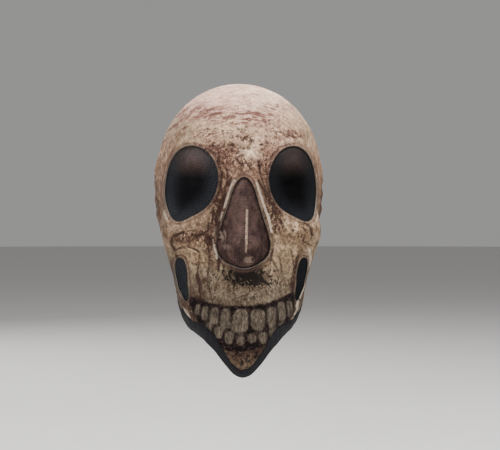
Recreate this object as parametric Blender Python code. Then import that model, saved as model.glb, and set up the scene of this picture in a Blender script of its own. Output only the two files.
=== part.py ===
"""Pull-on stretch-fabric skull mask, sewn from cut panels, in the shape that it takes on a head.

Metres, +Z up. The mask faces -Y and its wearer's left is +X. The origin is the middle of the head, level with
the eyes. Every panel is a pattern piece: an outline drawn on the head form, filled with triangles and given the
thickness of its cloth. Inner layers lie a small gap behind outer ones, so that each piece is a solid of its own.
"""

import math

import bpy
import numpy as np
from mathutils.geometry import delaunay_2d_cdt

MM = 0.001

# Cloth and thread, all as depths below the outer face of the printed panels.
PANEL_THICK = 0.8 * MM
LAYER_GAP = 0.5 * MM
NET_THICK = 0.5 * MM
THREAD_THICK = 0.7 * MM
BAND_THICK = 0.7 * MM
ELASTIC_THICK = 0.8 * MM
NET_DEPTH = PANEL_THICK + LAYER_GAP
STITCH_DEPTH = NET_DEPTH + NET_THICK + LAYER_GAP
OVERLOCK_DEPTH = PANEL_THICK + 1.8 * LAYER_GAP

# Seams and hems, measured along the cloth.
SEAM_GAP = 0.7 * MM
NET_LAP = 4.5 * MM
STITCH_WIDTH = 1.6 * MM
OVERLOCK_WIDTH = 5.0 * MM
HEM_HEIGHT = 7.5 * MM
ELASTIC_WIDTH = 5.0 * MM
HEM_STITCH_WIDTH = 2.0 * MM
LABEL_SIZE = (18 * MM, 26 * MM)
LABEL_RADIUS = 115 * MM  # from the origin to the nape, where the label hangs

# The seam over the crown lies in a plane that leans back: y = SEAM_Y + SEAM_LEAN * z.
SEAM_Y = 34 * MM
SEAM_LEAN = 0.14

# Mesh spacing along the cloth.
COARSE = 7.3 * MM
FINE = 4.5 * MM
FINE_BOX = ((-31 * MM, -78 * MM), (31 * MM, 14 * MM))  # the nose and its sides, seen from the front

# The head form, as ellipsoids (centre, radii) in millimetres that flow into each other.
MIDDLE_FORMS = {
    "cranium": ((0, 12, 27), (76.5, 95, 79)),
    "face": ((0, -22, -34), (68.5, 58, 91)),
    "jaw": ((0, -20, -100), (54, 49, 38)),
    "chin": ((0, -48, -132), (34, 33, 39)),
    "neck": ((0, 14, -150), (49, 53, 130)),
    "nape": ((0, 38, -66), (42, 36, 52)),
    "brow": ((0, -66, 26), (46, 16, 14)),
    "nose": ((0, -84, -26), (9, 17, 34)),
    "nose_tip": ((0, -97, -50), (12, 12, 10)),
    "mouth": ((0, -74, -96), (26, 14, 20)),
}
PAIRED_FORMS = {
    "cheekbone": ((48, -46, -34), (21, 24, 18)),
    "ear": ((63, 18, -10), (14, 22, 34)),
}
FLOW = 8.0  # how far the forms flow into each other, as stretched cloth bridges a hollow

# Azimuths of the stations of every row of points round the neck, closer together round the chin.
TURN = np.concatenate([np.arange(-180, -60, 5.0), np.arange(-60, 60, 2.5), np.arange(60, 180, 5.0)])

# The lower edge of the mask: its elevation seen from the origin, by azimuth from the front, in degrees.
HEM_AZIMUTH = (0, 6, 12, 19, 28, 43, 60, 90, 135, 180)
HEM_ELEVATION = (-68.2, -67.2, -64.5, -62.2, -62.3, -65.0, -66.6, -65.0, -61.0, -58.0)
BAND_RISE = (2.9, 2.95, 3.1, 3.25, 3.4, 4.2, 7.6, 11.0, 9.5, 8.5)  # how far above it the band's seam runs

# Openings of the face panel for the wearer's left side, as (x, z) millimetres on the plane through the origin,
# seen from the drawing point in front.
DRAWN_FROM = np.array([0, -1.12, -0.03])
EYE_OUTLINE = (
    (50, 47), (38, 44), (29, 34), (24.5, 21), (25, 8), (30, -5), (38, -14), (50, -21),
    (60, -25), (67, -22), (71, -12), (72.5, 1), (71.5, 16), (68, 31), (61, 42),
)  # fmt: skip
NOSE_OUTLINE = (
    (0, 17.5), (6, 14), (11, 5), (15.5, -10), (20, -24), (24.5, -38), (26, -50), (22, -60), (12, -67), (0, -70.5),
)  # fmt: skip
CHEEK_OUTLINE = ((57, -60), (63, -62), (63, -74), (59.5, -88), (54.5, -100), (51, -98), (51.5, -84), (53, -69))

COLOURS = {
    "printed_face": (0.50, 0.40, 0.31),
    "printed_back": (0.36, 0.28, 0.21),
    "black_band": (0.015, 0.014, 0.017),
    "eye_net": (0.02, 0.023, 0.028),
    "nose_net": (0.085, 0.058, 0.055),
    "bone_thread": (0.42, 0.35, 0.28),
    "black_thread": (0.02, 0.02, 0.022),
    "elastic": (0.6, 0.58, 0.55),
    "label": (0.8, 0.79, 0.76),
}


def remove_everything():
    for obj in list(bpy.data.objects):
        bpy.data.objects.remove(obj, do_unlink=True)


def fabric(name, roughness=0.85):
    material = bpy.data.materials.new(name)
    material.use_nodes = True
    shader = material.node_tree.nodes["Principled BSDF"]
    shader.inputs["Base Color"].default_value = (*COLOURS[name], 1)
    shader.inputs["Roughness"].default_value = roughness
    shader.inputs["Metallic"].default_value = 0
    return material


def ellipsoid_distance(points, centre, radii):
    """Roughly how far points are outside an ellipsoid, negative inside it."""
    scaled = (points - centre) / radii
    near = np.linalg.norm(scaled, axis=-1)
    slope = np.linalg.norm(scaled / radii, axis=-1)
    return near * (near - 1) / np.maximum(slope, 1e-9)


def form_distance(points):
    """Roughly how far points (metres) are outside the head form, negative inside it."""
    points = np.asarray(points) / MM
    forms = list(MIDDLE_FORMS.values())
    for (x, y, z), radii in PAIRED_FORMS.values():
        forms += [((x, y, z), radii), ((-x, y, z), radii)]
    each = np.array([ellipsoid_distance(points, np.array(c), np.array(r)) for c, r in forms])
    nearest = each.min(axis=0)
    return (nearest - FLOW * np.log(np.exp((nearest - each) / FLOW).sum(axis=0))) * MM


def form_normals(points):
    step = 0.5 * MM
    axes = np.eye(3) * step
    slope = np.stack([form_distance(points + a) - form_distance(points - a) for a in axes], axis=-1)
    return slope / np.linalg.norm(slope, axis=-1, keepdims=True)


def outermost_hit(starts, directions, reach):
    """Where rays from starts leave the head form for the last time, looking back from reach metres out."""
    steps = np.linspace(reach, 0, 120)
    inside = np.array([form_distance(starts + directions * t) < 0 for t in steps])
    first = inside.argmax(axis=0)
    out, into = steps[np.maximum(first - 1, 0)], steps[first]
    for _ in range(24):
        middle = (out + into) / 2
        within = form_distance(starts + directions * middle[:, None]) < 0
        into, out = np.where(within, middle, into), np.where(within, out, middle)
    return starts + directions * into[:, None]


def on_form(directions):
    directions = np.asarray(directions, float)
    directions = directions / np.linalg.norm(directions, axis=-1, keepdims=True)
    return outermost_hit(np.zeros_like(directions), directions, 0.23)


def seen_from_front(outline_mm):
    """Points of the head form behind a drawing on the plane through the origin, (x, z) in millimetres."""
    x, z = (np.asarray(outline_mm, float) * MM).T
    plane = np.stack([x, np.zeros_like(x), z], axis=1)
    rays = DRAWN_FROM - plane
    return outermost_hit(plane, rays / np.linalg.norm(rays, axis=1, keepdims=True), 0.14)


def below(points, depth):
    """The same points, this far below the outer face of the cloth."""
    return points - form_normals(points) * depth


def smooth_loop(points, spacing):
    """A closed Catmull-Rom curve through points, sampled evenly."""
    points = np.asarray(points, float)
    n = len(points)
    fine = []
    for i in range(n):
        a, b, c, d = (points[(i + k) % n] for k in (-1, 0, 1, 2))
        for t in np.arange(0, 1, 1 / 24):
            fine.append(
                0.5 * (2 * b + (c - a) * t + (2 * a - 5 * b + 4 * c - d) * t**2 + (3 * b - a - 3 * c + d) * t**3)
            )
    return evenly(np.array(fine + fine[:1]), spacing)[:-1]


def evenly(line, spacing):
    """A polyline sampled again with nearly even steps, its ends kept."""
    lengths = np.linalg.norm(np.diff(line, axis=0), axis=1)
    along = np.concatenate([[0], np.cumsum(lengths)])
    count = max(2, round(along[-1] / spacing))
    at = np.linspace(0, along[-1], count + 1)
    return np.stack([np.interp(at, along, line[:, k]) for k in range(line.shape[1])], axis=1)


def direction(azimuth, elevation):
    """Unit vector, from degrees: azimuth 0 is the front (-Y) and 90 the wearer's left (+X)."""
    a, e = np.radians(azimuth), np.radians(elevation)
    return np.stack([np.sin(a) * np.cos(e), -np.cos(a) * np.cos(e), np.sin(e)], axis=-1)


def hem_elevation(azimuth):
    """A smooth curve through the hem's control points, the same on both sides."""
    return smooth_table(azimuth, HEM_ELEVATION)


def band_elevation(azimuth):
    return smooth_table(azimuth, np.array(HEM_ELEVATION) + np.array(BAND_RISE))


def smooth_table(azimuth, values):
    """Cubic through a table by HEM_AZIMUTH, level at the front and the back."""
    azimuth = np.abs((np.asarray(azimuth, float) + 180) % 360 - 180)
    x, y = np.array(HEM_AZIMUTH, float), np.array(values, float)
    slopes = np.gradient(y, x)
    slopes[0] = slopes[-1] = 0
    i = np.clip(np.searchsorted(x, azimuth, side="right") - 1, 0, len(x) - 2)
    span = x[i + 1] - x[i]
    t = (azimuth - x[i]) / span
    return (
        y[i] * (2 * t**3 - 3 * t**2 + 1)
        + slopes[i] * span * (t**3 - 2 * t**2 + t)
        + y[i + 1] * (3 * t**2 - 2 * t**3)
        + slopes[i + 1] * span * (t**3 - t**2)
    )


def angles_of(points):
    """(azimuth, elevation) in degrees of points seen from the origin."""
    x, y, z = points.T
    return np.degrees(np.arctan2(x, -y)), np.degrees(np.arctan2(z, np.hypot(x, y)))


def crown_seam(spacing):
    """The seam from the band on the wearer's right, over the crown, to the band on the left."""
    lean = np.array([0, SEAM_LEAN, 1]) / math.hypot(1, SEAM_LEAN)
    turn = np.radians(np.linspace(-160, 160, 641))
    rays = np.outer(np.cos(turn), lean) + np.outer(np.sin(turn), [1, 0, 0])
    start = np.tile([0, SEAM_Y, 0], (len(turn), 1))
    points = outermost_hit(start, rays, 0.2)
    azimuth, elevation = angles_of(points)
    return evenly(points[elevation > band_elevation(azimuth)], spacing)


def band_seam(start, end):
    """The band's seam between two azimuths, at the stations that every row round the neck shares."""
    stations = TURN[(TURN > start + 1) & (TURN < end - 1)]
    return on_form(direction(stations, band_elevation(stations)))


def back_middle(spacing):
    """The centre-back seam, from the crown seam down to the band."""
    crown = crown_seam(1 * MM)
    top = crown[np.abs(crown[:, 0]).argmin()]
    high = 180 - math.degrees(math.atan2(top[2], top[1]))
    low = 180 - float(band_elevation(180))
    turn = np.radians(np.linspace(high, low, 241))
    rays = np.stack([np.zeros_like(turn), -np.cos(turn), np.sin(turn)], axis=1)
    return evenly(on_form(rays), spacing)


class Projection:
    """A flat map of directions round a middle one, true to angle along each spoke."""

    def __init__(self, middle):
        self.middle = np.array(middle, float)
        self.across = np.cross([0, 0, 1.0], self.middle)
        self.up = np.cross(self.middle, self.across)

    def flatten(self, points):
        unit = points / np.linalg.norm(points, axis=1, keepdims=True)
        ahead = np.clip(unit @ self.middle, -1, 1)
        flat = np.stack([unit @ self.across, unit @ self.up], axis=1)
        length = np.linalg.norm(flat, axis=1, keepdims=True)
        return flat / np.maximum(length, 1e-12) * np.arccos(ahead)[:, None]

    def directions(self, flat):
        angle = np.linalg.norm(flat, axis=1, keepdims=True)
        spoke = flat / np.maximum(angle, 1e-12)
        return np.cos(angle) * self.middle + np.sin(angle) * (spoke[:, :1] * self.across + spoke[:, 1:] * self.up)


FRONT = Projection((0, -1, 0))
BACK = Projection((0, 1, 0))


def offset_loop(flat, distance):
    """A closed counter-clockwise outline moved inwards by distance (a number, or one for each point)."""
    ahead, behind = np.roll(flat, -1, axis=0), np.roll(flat, 1, axis=0)
    tangent = ahead - behind
    tangent /= np.maximum(np.linalg.norm(tangent, axis=1, keepdims=True), 1e-12)
    inward = np.stack([-tangent[:, 1], tangent[:, 0]], axis=1)
    return flat + inward * np.reshape(distance, (-1, 1))


def counter_clockwise(flat):
    x, y = flat.T
    area = (x * np.roll(y, -1) - np.roll(x, -1) * y).sum()
    return flat if area > 0 else flat[::-1]


def inside_loop(points, loop):
    """Which points a closed outline holds."""
    x, y = points[:, 0][:, None], points[:, 1][:, None]
    ax, ay = loop.T
    bx, by = np.roll(loop, -1, axis=0).T
    crosses = (ay > y) != (by > y)
    reach = np.where(by == ay, 1e-12, by - ay)
    return ((x < (bx - ax) * (y - ay) / reach + ax) & crosses).sum(axis=1) % 2 == 1


def distance_to_loops(points, loops):
    corners = np.concatenate(loops)
    return np.linalg.norm(points[:, None] - corners[None], axis=2).min(axis=1)


def filled(projection, outline, holes=(), rings=(), spacing=COARSE):
    """Triangles over an outline, as points on the head form and faces. Rings are lines that edges must follow."""
    scale = 0.09  # metres of cloth for a radian of the map, near enough for spacing
    outline = counter_clockwise(outline)
    holes = [counter_clockwise(h) for h in holes]
    loops = [outline, *holes, *rings]

    def grid(step):
        low, high = outline.min(axis=0), outline.max(axis=0)
        rows = np.arange(low[1], high[1], step * 0.866)
        found = [
            (x, y) for i, y in enumerate(rows) for x in np.arange(low[0] + (i % 2) * step / 2, high[0], step)
        ]
        found = np.array(found)
        keep = inside_loop(found, outline) & (distance_to_loops(found, loops) > 0.6 * step)
        for hole in holes:
            keep &= ~inside_loop(found, hole)
        return found[keep]

    def is_fine(flat):
        seen = on_form(projection.directions(flat))
        (x0, z0), (x1, z1) = FINE_BOX
        return (seen[:, 1] < 0) & (seen[:, 0] > x0) & (seen[:, 0] < x1) & (seen[:, 2] > z0) & (seen[:, 2] < z1)

    coarse = grid(spacing / scale)
    fine = grid(FINE / scale)
    fine = fine[is_fine(fine)]
    if len(fine):
        coarse = coarse[distance_to_loops(coarse, [fine]) > 0.5 * spacing / scale]
        coarse = np.concatenate([coarse, fine])
    points = np.concatenate([*loops, coarse])
    edges, start = [], 0
    for loop in loops:
        edges += [(start + i, start + (i + 1) % len(loop)) for i in range(len(loop))]
        start += len(loop)
    flat, _, faces, *_ = delaunay_2d_cdt([tuple(p) for p in points], edges, [], 0, 1e-9, False)
    flat = np.array([tuple(p) for p in flat])
    faces = np.array(faces)
    centres = flat[faces].mean(axis=1)
    keep = inside_loop(centres, outline)
    for hole in holes:
        keep &= ~inside_loop(centres, hole)
    return on_form(projection.directions(flat)), faces[keep]


def thickened(surface, faces, depth, thickness):
    """A closed shell between two depths below the cloth's outer face."""
    n = len(surface)
    points = np.concatenate([below(surface, depth), below(surface, depth + thickness)])
    a, b, c = (surface[faces[:, k]] for k in range(3))
    if (np.cross(b - a, c - a) * form_normals(a)).sum() < 0:
        faces = faces[:, ::-1]
    ends = np.concatenate([faces[:, [0, 1]], faces[:, [1, 2]], faces[:, [2, 0]]])
    pairs = {tuple(e) for e in ends}
    rims = [(a, b) for a, b in pairs if (b, a) not in pairs]
    sides = [(b, a, a + n, b + n) for a, b in rims]
    return points, [tuple(f) for f in faces] + [tuple(f[::-1]) for f in faces + n] + sides


def add_solid(name, points, faces, material):
    mesh = bpy.data.meshes.new(name)
    mesh.from_pydata([tuple(p) for p in points], [], [tuple(int(i) for i in f) for f in faces])
    mesh.materials.append(material)
    mesh.validate()
    mesh.shade_smooth()
    mesh.set_sharp_from_angle(angle=math.radians(50))
    obj = bpy.data.objects.new(name, mesh)
    bpy.context.scene.collection.objects.link(obj)
    return obj


def add_panel(name, projection, outline, material, depth=0.0, thickness=PANEL_THICK, **filling):
    surface, faces = filled(projection, outline, **filling)
    return add_solid(name, *thickened(surface, faces, depth, thickness), material)


def add_strip(name, rows, depth, thickness, material, closed):
    """A strip through rows of points on the head form, top row first, closed to a ring or open at its ends."""
    outer = [below(row, depth) for row in rows]
    inner = [below(row, depth + thickness) for row in rows]
    section = outer + inner[::-1]
    n, sides = len(rows[0]), len(section)
    points = np.concatenate(section)
    faces = []
    for i in range(n if closed else n - 1):
        j = (i + 1) % n
        faces += [(k * n + i, k * n + j, (k + 1) % sides * n + j, (k + 1) % sides * n + i) for k in range(sides)]
    if not closed:
        for i, turned in ((0, False), (n - 1, True)):
            for k in range(len(rows) - 1):
                end = [m * n + i for m in (k, k + 1, sides - 2 - k, sides - 1 - k)]
                faces.append(tuple(end[::-1] if turned else end))
    a, b, c = (points[faces[0][k]] for k in range(3))
    if np.dot(np.cross(b - a, c - b), form_normals(rows[0][:1])[0]) < 0:
        faces = [f[::-1] for f in faces]
    return add_solid(name, points, faces, material)


def beside(line, offset, closed):
    """A line on the head form moved sideways along the cloth, to its left seen from outside."""
    if closed:
        tangent = np.roll(line, -1, axis=0) - np.roll(line, 1, axis=0)
    else:
        tangent = np.gradient(line, axis=0)
    tangent /= np.linalg.norm(tangent, axis=1, keepdims=True)
    return on_form(line + np.cross(form_normals(line), tangent) * offset)


def add_seam(name, line, width, depth, thickness, material, closed=False):
    """A narrow strip of thread centred on a line."""
    rows = [beside(line, offset, closed) for offset in (width / 2, 0, -width / 2)]
    return add_strip(name, rows, depth, thickness, material, closed)


def face_outline():
    """The face panel's edge: over the crown, then under the chin, pulled back from both seams."""
    crown = crown_seam(COARSE)
    azimuth, _ = angles_of(crown[[0, -1]])
    jaw = band_seam(azimuth.min(), azimuth.max())
    if azimuth[1] > azimuth[0]:
        jaw = jaw[::-1]
    flat = counter_clockwise(FRONT.flatten(np.concatenate([crown, jaw])))
    return offset_loop(flat, SEAM_GAP / 2 / np.linalg.norm(on_form(FRONT.directions(flat)), axis=1))


def back_outline(side):
    """One back panel's edge. side is +1 for the wearer's left."""
    crown = crown_seam(COARSE)
    half = crown[crown[:, 0] * side > 1 * MM]
    if side < 0:
        half = half[::-1]
    middle = back_middle(COARSE)
    azimuth = abs(float(angles_of(half[-1:])[0][0]))
    band = band_seam(azimuth, 180) * [side, 1, 1]
    loop = np.concatenate([middle[::-1], half, band])
    flat = counter_clockwise(BACK.flatten(loop))
    return offset_loop(flat, SEAM_GAP / 2 / np.linalg.norm(on_form(BACK.directions(flat)), axis=1))


def window_loops():
    """The face panel's openings as loops on the head form, by name."""
    mirrored = [(-x, z) for x, z in NOSE_OUTLINE[-2:0:-1]]
    drawn = {"nose": list(NOSE_OUTLINE) + mirrored}
    for side, sign in (("left", 1), ("right", -1)):
        drawn[f"eye_{side}"] = [(sign * x, z) for x, z in EYE_OUTLINE]
        drawn[f"cheek_{side}"] = [(sign * x, z) for x, z in CHEEK_OUTLINE]
    return {name: seen_from_front(smooth_loop(points, 5.0)) for name, points in drawn.items()}


def wider(loop, distance):
    """A window's loop moved outwards along the cloth."""
    flat = counter_clockwise(FRONT.flatten(loop))
    metres = np.linalg.norm(on_form(FRONT.directions(flat)), axis=1)
    return offset_loop(flat, -distance / metres)


def add_windows(loops, threads):
    """A net behind each opening, held by a ring of zigzag stitches on its lap."""
    nets = {"eye": fabric("eye_net", 0.7), "nose": fabric("nose_net", 0.7)}
    nets["cheek"] = nets["eye"]
    for name, loop in loops.items():
        kind, _, side = name.partition("_")
        suffix = f"_{side}" if side else ""
        spacing = FINE if kind == "nose" else COARSE
        add_panel(
            f"{kind}_net{suffix}", FRONT, wider(loop, NET_LAP), nets[kind],
            depth=NET_DEPTH, thickness=NET_THICK, rings=[FRONT.flatten(loop)], spacing=spacing,
        )  # fmt: skip
        rings = [on_form(FRONT.directions(wider(loop, NET_LAP / 2 + d))) for d in (0, STITCH_WIDTH)]
        add_strip(f"{kind}_stitching{suffix}", rings, STITCH_DEPTH, THREAD_THICK, threads, True)


def hem_rows(rises):
    """Closed rows of points round the lower edge, each this far above it along the cloth."""
    low = on_form(direction(TURN, hem_elevation(TURN)))
    radius = np.linalg.norm(low, axis=1)
    return [on_form(direction(TURN, hem_elevation(TURN) + np.degrees(rise / radius))) for rise in rises]


def add_band_and_hem(black_thread):
    """The black band under the jaw and round the neck, its turned hem, the elastic in it and its stitches."""
    band = fabric("black_band")
    seam = on_form(direction(TURN, band_elevation(TURN)))
    rise = band_elevation(TURN) - hem_elevation(TURN) - np.degrees(SEAM_GAP / 2) / np.linalg.norm(seam, axis=1)
    rows = [on_form(direction(TURN, hem_elevation(TURN) + rise * k / 4)) for k in (4, 3, 2, 1, 0)]
    add_strip("neck_band", rows, 0, PANEL_THICK, band, True)
    turned = PANEL_THICK + LAYER_GAP + ELASTIC_THICK + LAYER_GAP
    hem = hem_rows([HEM_HEIGHT + 1 * MM, HEM_HEIGHT / 2, 1 * MM])
    add_strip("turned_hem", hem, turned, BAND_THICK, band, True)
    elastic = hem_rows([1.5 * MM + ELASTIC_WIDTH, 1.5 * MM + ELASTIC_WIDTH / 2, 1.5 * MM])
    add_strip("hem_elastic", elastic, PANEL_THICK + LAYER_GAP, ELASTIC_THICK, fabric("elastic"), True)
    stitches = hem_rows([HEM_HEIGHT, HEM_HEIGHT - HEM_STITCH_WIDTH])
    add_strip("hem_coverstitch", stitches, turned + BAND_THICK + LAYER_GAP, THREAD_THICK, black_thread, True)


def add_overlocks(bone_thread, black_thread):
    """The overlocked seam allowances inside the mask, one strip of thread for each seam."""
    crown, middle = crown_seam(COARSE)[1:-1], back_middle(COARSE)[1:-1]
    band = on_form(direction(TURN, band_elevation(TURN)))
    add_seam("crown_seam_overlock", crown, OVERLOCK_WIDTH, OVERLOCK_DEPTH, THREAD_THICK, bone_thread)
    add_seam("centre_back_overlock", middle, OVERLOCK_WIDTH, OVERLOCK_DEPTH, THREAD_THICK, bone_thread)
    add_seam("band_seam_overlock", band, OVERLOCK_WIDTH * 0.6, OVERLOCK_DEPTH, THREAD_THICK, black_thread, True)


def add_care_label():
    """A blank woven label hanging inside the centre back."""
    width, length = LABEL_SIZE
    depth = OVERLOCK_DEPTH + THREAD_THICK + LAYER_GAP
    top = math.radians(180 - float(band_elevation(180)) - 22)
    rows = []
    for x in (-width / 2, 0, width / 2):
        turn = np.linspace(top, top + length / LABEL_RADIUS, 5)
        rows.append(on_form(np.stack([np.full_like(turn, x / LABEL_RADIUS), -np.cos(turn), np.sin(turn)], axis=1)))
    add_strip("care_label", rows, depth, 0.4 * MM, fabric("label"), False)


def main():
    remove_everything()
    bone_thread, black_thread = fabric("bone_thread"), fabric("black_thread")
    loops = window_loops()
    holes = [FRONT.flatten(loop) for loop in loops.values()]
    add_panel("face_panel", FRONT, face_outline(), fabric("printed_face"), holes=holes)
    back = fabric("printed_back")
    add_panel("back_panel_left", BACK, back_outline(1), back)
    add_panel("back_panel_right", BACK, back_outline(-1), back)
    add_windows(loops, bone_thread)
    add_band_and_hem(black_thread)
    add_overlocks(bone_thread, black_thread)
    add_care_label()


main()
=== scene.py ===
"""Looks of the pull-on skull mask: fine cloth panels, their print, see-through nets, seams, band and label.

Metres, +Z up. The mask faces -Y and its wearer's left is +X. The cloth lies on the same head form as the CAD
part. Places in the print are (u, w) in millimetres on the plane through the origin, seen from in front of it.
"""

import math

import bpy
import numpy as np
from mathutils import Matrix, Vector
from mathutils.geometry import delaunay_2d_cdt
from mathutils.kdtree import KDTree

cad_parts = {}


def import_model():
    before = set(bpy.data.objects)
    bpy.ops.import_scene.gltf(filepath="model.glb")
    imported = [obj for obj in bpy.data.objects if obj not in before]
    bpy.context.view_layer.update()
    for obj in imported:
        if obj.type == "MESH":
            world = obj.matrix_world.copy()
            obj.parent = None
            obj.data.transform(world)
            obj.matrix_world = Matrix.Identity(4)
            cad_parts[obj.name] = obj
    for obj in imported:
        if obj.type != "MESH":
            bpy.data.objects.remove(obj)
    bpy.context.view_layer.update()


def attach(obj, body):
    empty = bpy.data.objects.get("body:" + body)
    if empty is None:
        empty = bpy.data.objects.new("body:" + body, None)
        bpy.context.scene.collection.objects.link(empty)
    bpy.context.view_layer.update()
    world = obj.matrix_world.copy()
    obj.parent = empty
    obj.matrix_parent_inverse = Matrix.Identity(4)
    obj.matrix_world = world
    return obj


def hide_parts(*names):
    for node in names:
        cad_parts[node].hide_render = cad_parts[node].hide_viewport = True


MM = 0.001

# Camera.
CAMERA_AZIMUTH = -3.0
CAMERA_DISTANCE = 1.12
CAMERA_TARGET = (10 * MM, -28.5 * MM)  # to the right of the origin and above it, in the picture
FRAME_WIDTH = 475 * MM
FLOOR_Z = -0.30
FLOOR_RADIUS = 14
SKY_COLOUR = (0.84, 0.83, 0.82, 1)
SKY_STRENGTH = 0.38

# Lights as (name, place, size across, watts).
LIGHTS = (
    ("overhead", (0.2, -0.3, 1.4), 0.8, 48),
    ("front", (-0.7, -1.8, 0.6), 0.8, 19),
    ("side", (1.5, -0.5, 0.7), 0.7, 5),
    ("rear", (-0.9, 1.5, 0.8), 0.6, 16),
)

# Cloth and thread, as depths below the outer face of the printed panels.
PANEL_THICK = 0.6 * MM
NET_DEPTH = 1.3 * MM
NET_THICK = 0.4 * MM
STITCH_DEPTH = 2.4 * MM
OVERLOCK_DEPTH = 1.6 * MM
ALLOWANCE_THICK = 0.5 * MM
ELASTIC_DEPTH = 1.3 * MM
ELASTIC_THICK = 0.8 * MM
TURNED_DEPTH = 2.6 * MM
THREAD_RADIUS = 0.28 * MM

# Seams and hems, measured along the cloth.
SEAM_GAP = 0.4 * MM
NET_LAP = 4.5 * MM
STITCH_WIDTH = 1.8 * MM
STITCH_PITCH = 1.3 * MM
OVERLOCK_WIDTH = 5.0 * MM
HEM_HEIGHT = 7.5 * MM
ELASTIC_WIDTH = 5.0 * MM
HEM_STITCH_LENGTH = 2.6 * MM
HEM_STITCH_DROPS = (2.2 * MM, 0.2 * MM)  # below the hem's upper edge
LABEL_SIZE = (18 * MM, 26 * MM)
LABEL_RADIUS = 115 * MM
LABEL_ABOVE_BAND = 22  # degrees
BINDING_STEP = 1.5 * MM
HEM_EDGE = 1 * MM
ELASTIC_EDGE = 1.5 * MM

# Cloth that a seam pulls in and puckers.
SEAM_DIP = 0.9 * MM
SEAM_DIP_WIDTH = 1.6 * MM
PUCKER_HEIGHT = 0.4 * MM
PUCKER_REACH = 6 * MM
PUCKER_LENGTH = 9.5  # millimetres

# Knit and net, between one column or hole and the next.
KNIT_PITCH = 0.9 * MM
BAND_KNIT_PITCH = 1.1 * MM
NET_PITCH = 1.3 * MM
KNIT_HEIGHT = 0.12 * MM

# The seam over the crown lies in the plane y = SEAM_Y + SEAM_LEAN * z.
SEAM_Y = 34 * MM
SEAM_LEAN = 0.14

# Mesh spacing along the cloth.
FACE_SPACING = 1.75 * MM
BACK_SPACING = 2.0 * MM
NET_SPACING = 1.8 * MM
TURN = np.arange(-180, 180, 0.75)

# The head form, as ellipsoids (centre, radii) in millimetres that flow into each other.
MIDDLE_FORMS = {
    "cranium": ((0, 12, 27), (76.5, 95, 79)),
    "face": ((0, -22, -34), (68.5, 58, 91)),
    "jaw": ((0, -20, -100), (54, 49, 38)),
    "chin": ((0, -48, -132), (34, 33, 39)),
    "neck": ((0, 14, -150), (49, 53, 130)),
    "nape": ((0, 38, -66), (42, 36, 52)),
    "brow": ((0, -66, 26), (46, 16, 14)),
    "nose": ((0, -84, -26), (9, 17, 34)),
    "nose_tip": ((0, -97, -50), (12, 12, 10)),
    "mouth": ((0, -74, -96), (26, 14, 20)),
}
PAIRED_FORMS = {
    "cheekbone": ((48, -46, -34), (21, 24, 18)),
    "ear": ((63, 18, -10), (14, 22, 34)),
}
FLOW = 8.0
PRINT_BACK = 5 * MM  # the drawn print ends here, and plain aged bone goes on behind it
DAB_SIZE = 3.4 * MM
FORM_REACH = 0.23  # the form lies within this of the origin
CROWN_REACH = 0.2
FRONT_REACH = 0.14
HEAD_RADIUS = 0.09  # turns angles seen from the origin into lengths along the cloth
NECK_RADIUS = 0.07
NECK_DROP = 0.12

# The lower edge of the mask: its elevation seen from the origin, by azimuth from the front, in degrees.
HEM_AZIMUTH = (0, 6, 12, 19, 28, 43, 60, 90, 135, 180)
HEM_ELEVATION = (-68.2, -67.2, -64.5, -62.2, -62.3, -65.0, -66.6, -65.0, -61.0, -58.0)
BAND_RISE = (2.9, 2.95, 3.1, 3.25, 3.4, 4.2, 7.6, 11.0, 9.5, 8.5)

# Openings of the face panel for the wearer's left side, in the print.
DRAWN_FROM = np.array([0, -1.12, -0.03])
EYE_OUTLINE = (
    (50, 47), (38, 44), (29, 34), (24.5, 21), (25, 8), (30, -5), (38, -14), (50, -21),
    (60, -25), (67, -22), (71, -12), (72.5, 1), (71.5, 16), (68, 31), (61, 42),
)  # fmt: skip
NOSE_OUTLINE = (
    (0, 17.5), (6, 14), (11, 5), (15.5, -10), (20, -24), (24.5, -38), (26, -50), (22, -60), (12, -67),
    (0, -70.5),
)  # fmt: skip
CHEEK_OUTLINE = (
    (57, -60), (63, -62), (63, -74), (59.5, -88), (54.5, -100), (51, -98), (51.5, -84), (53, -69),
)  # fmt: skip

# Folds of the slack cloth: from and to as (azimuth, elevation) in degrees, height and width in millimetres.
FOLDS = (
    ((146, -30), (205, -33), 3.6, 5.0),
    ((158, -38), (214, -41), 3.4, 4.6),
    ((140, -43), (186, -48), 2.8, 4.2),
    ((108, -16), (128, -42), 3.2, 4.4),
    ((-110, -18), (-130, -40), 3.2, 4.4),
    ((118, -6), (152, -24), 2.4, 5.0),
    ((-120, -8), (-156, -24), 2.4, 5.0),
    ((96, -30), (112, -50), 2.2, 3.8),
    ((-94, -32), (-112, -50), 2.2, 3.8),
    ((116, 30), (150, 12), 1.2, 6.0),
    ((-118, 34), (-148, 14), 1.2, 6.0),
    ((-84, 27), (-100, 10), 1.6, 5.0),
    ((86, 22), (104, 8), 1.0, 4.5),
    ((60, -56), (20, -54), 0.7, 2.6),
    ((-60, -56), (-22, -54), 0.7, 2.6),
    ((74, -52), (36, -46), 0.5, 2.8),
    ((-76, -52), (-38, -47), 0.6, 2.8),
    ((30, 74), (85, 66), 0.35, 4.0),
    ((80, 14), (104, 9), 0.8, 2.6),
    ((82, 5), (106, -2), 0.7, 2.4),
    ((80, -5), (104, -12), 0.9, 2.8),
    ((82, -16), (106, -23), 0.8, 2.6),
    ((-80, 12), (-106, 6), 0.8, 2.6),
    ((-82, 0), (-104, -4), 0.7, 2.4),
    ((-80, -9), (-106, -15), 0.9, 2.8),
    ((-82, -19), (-104, -26), 0.7, 2.4),
)

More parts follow.
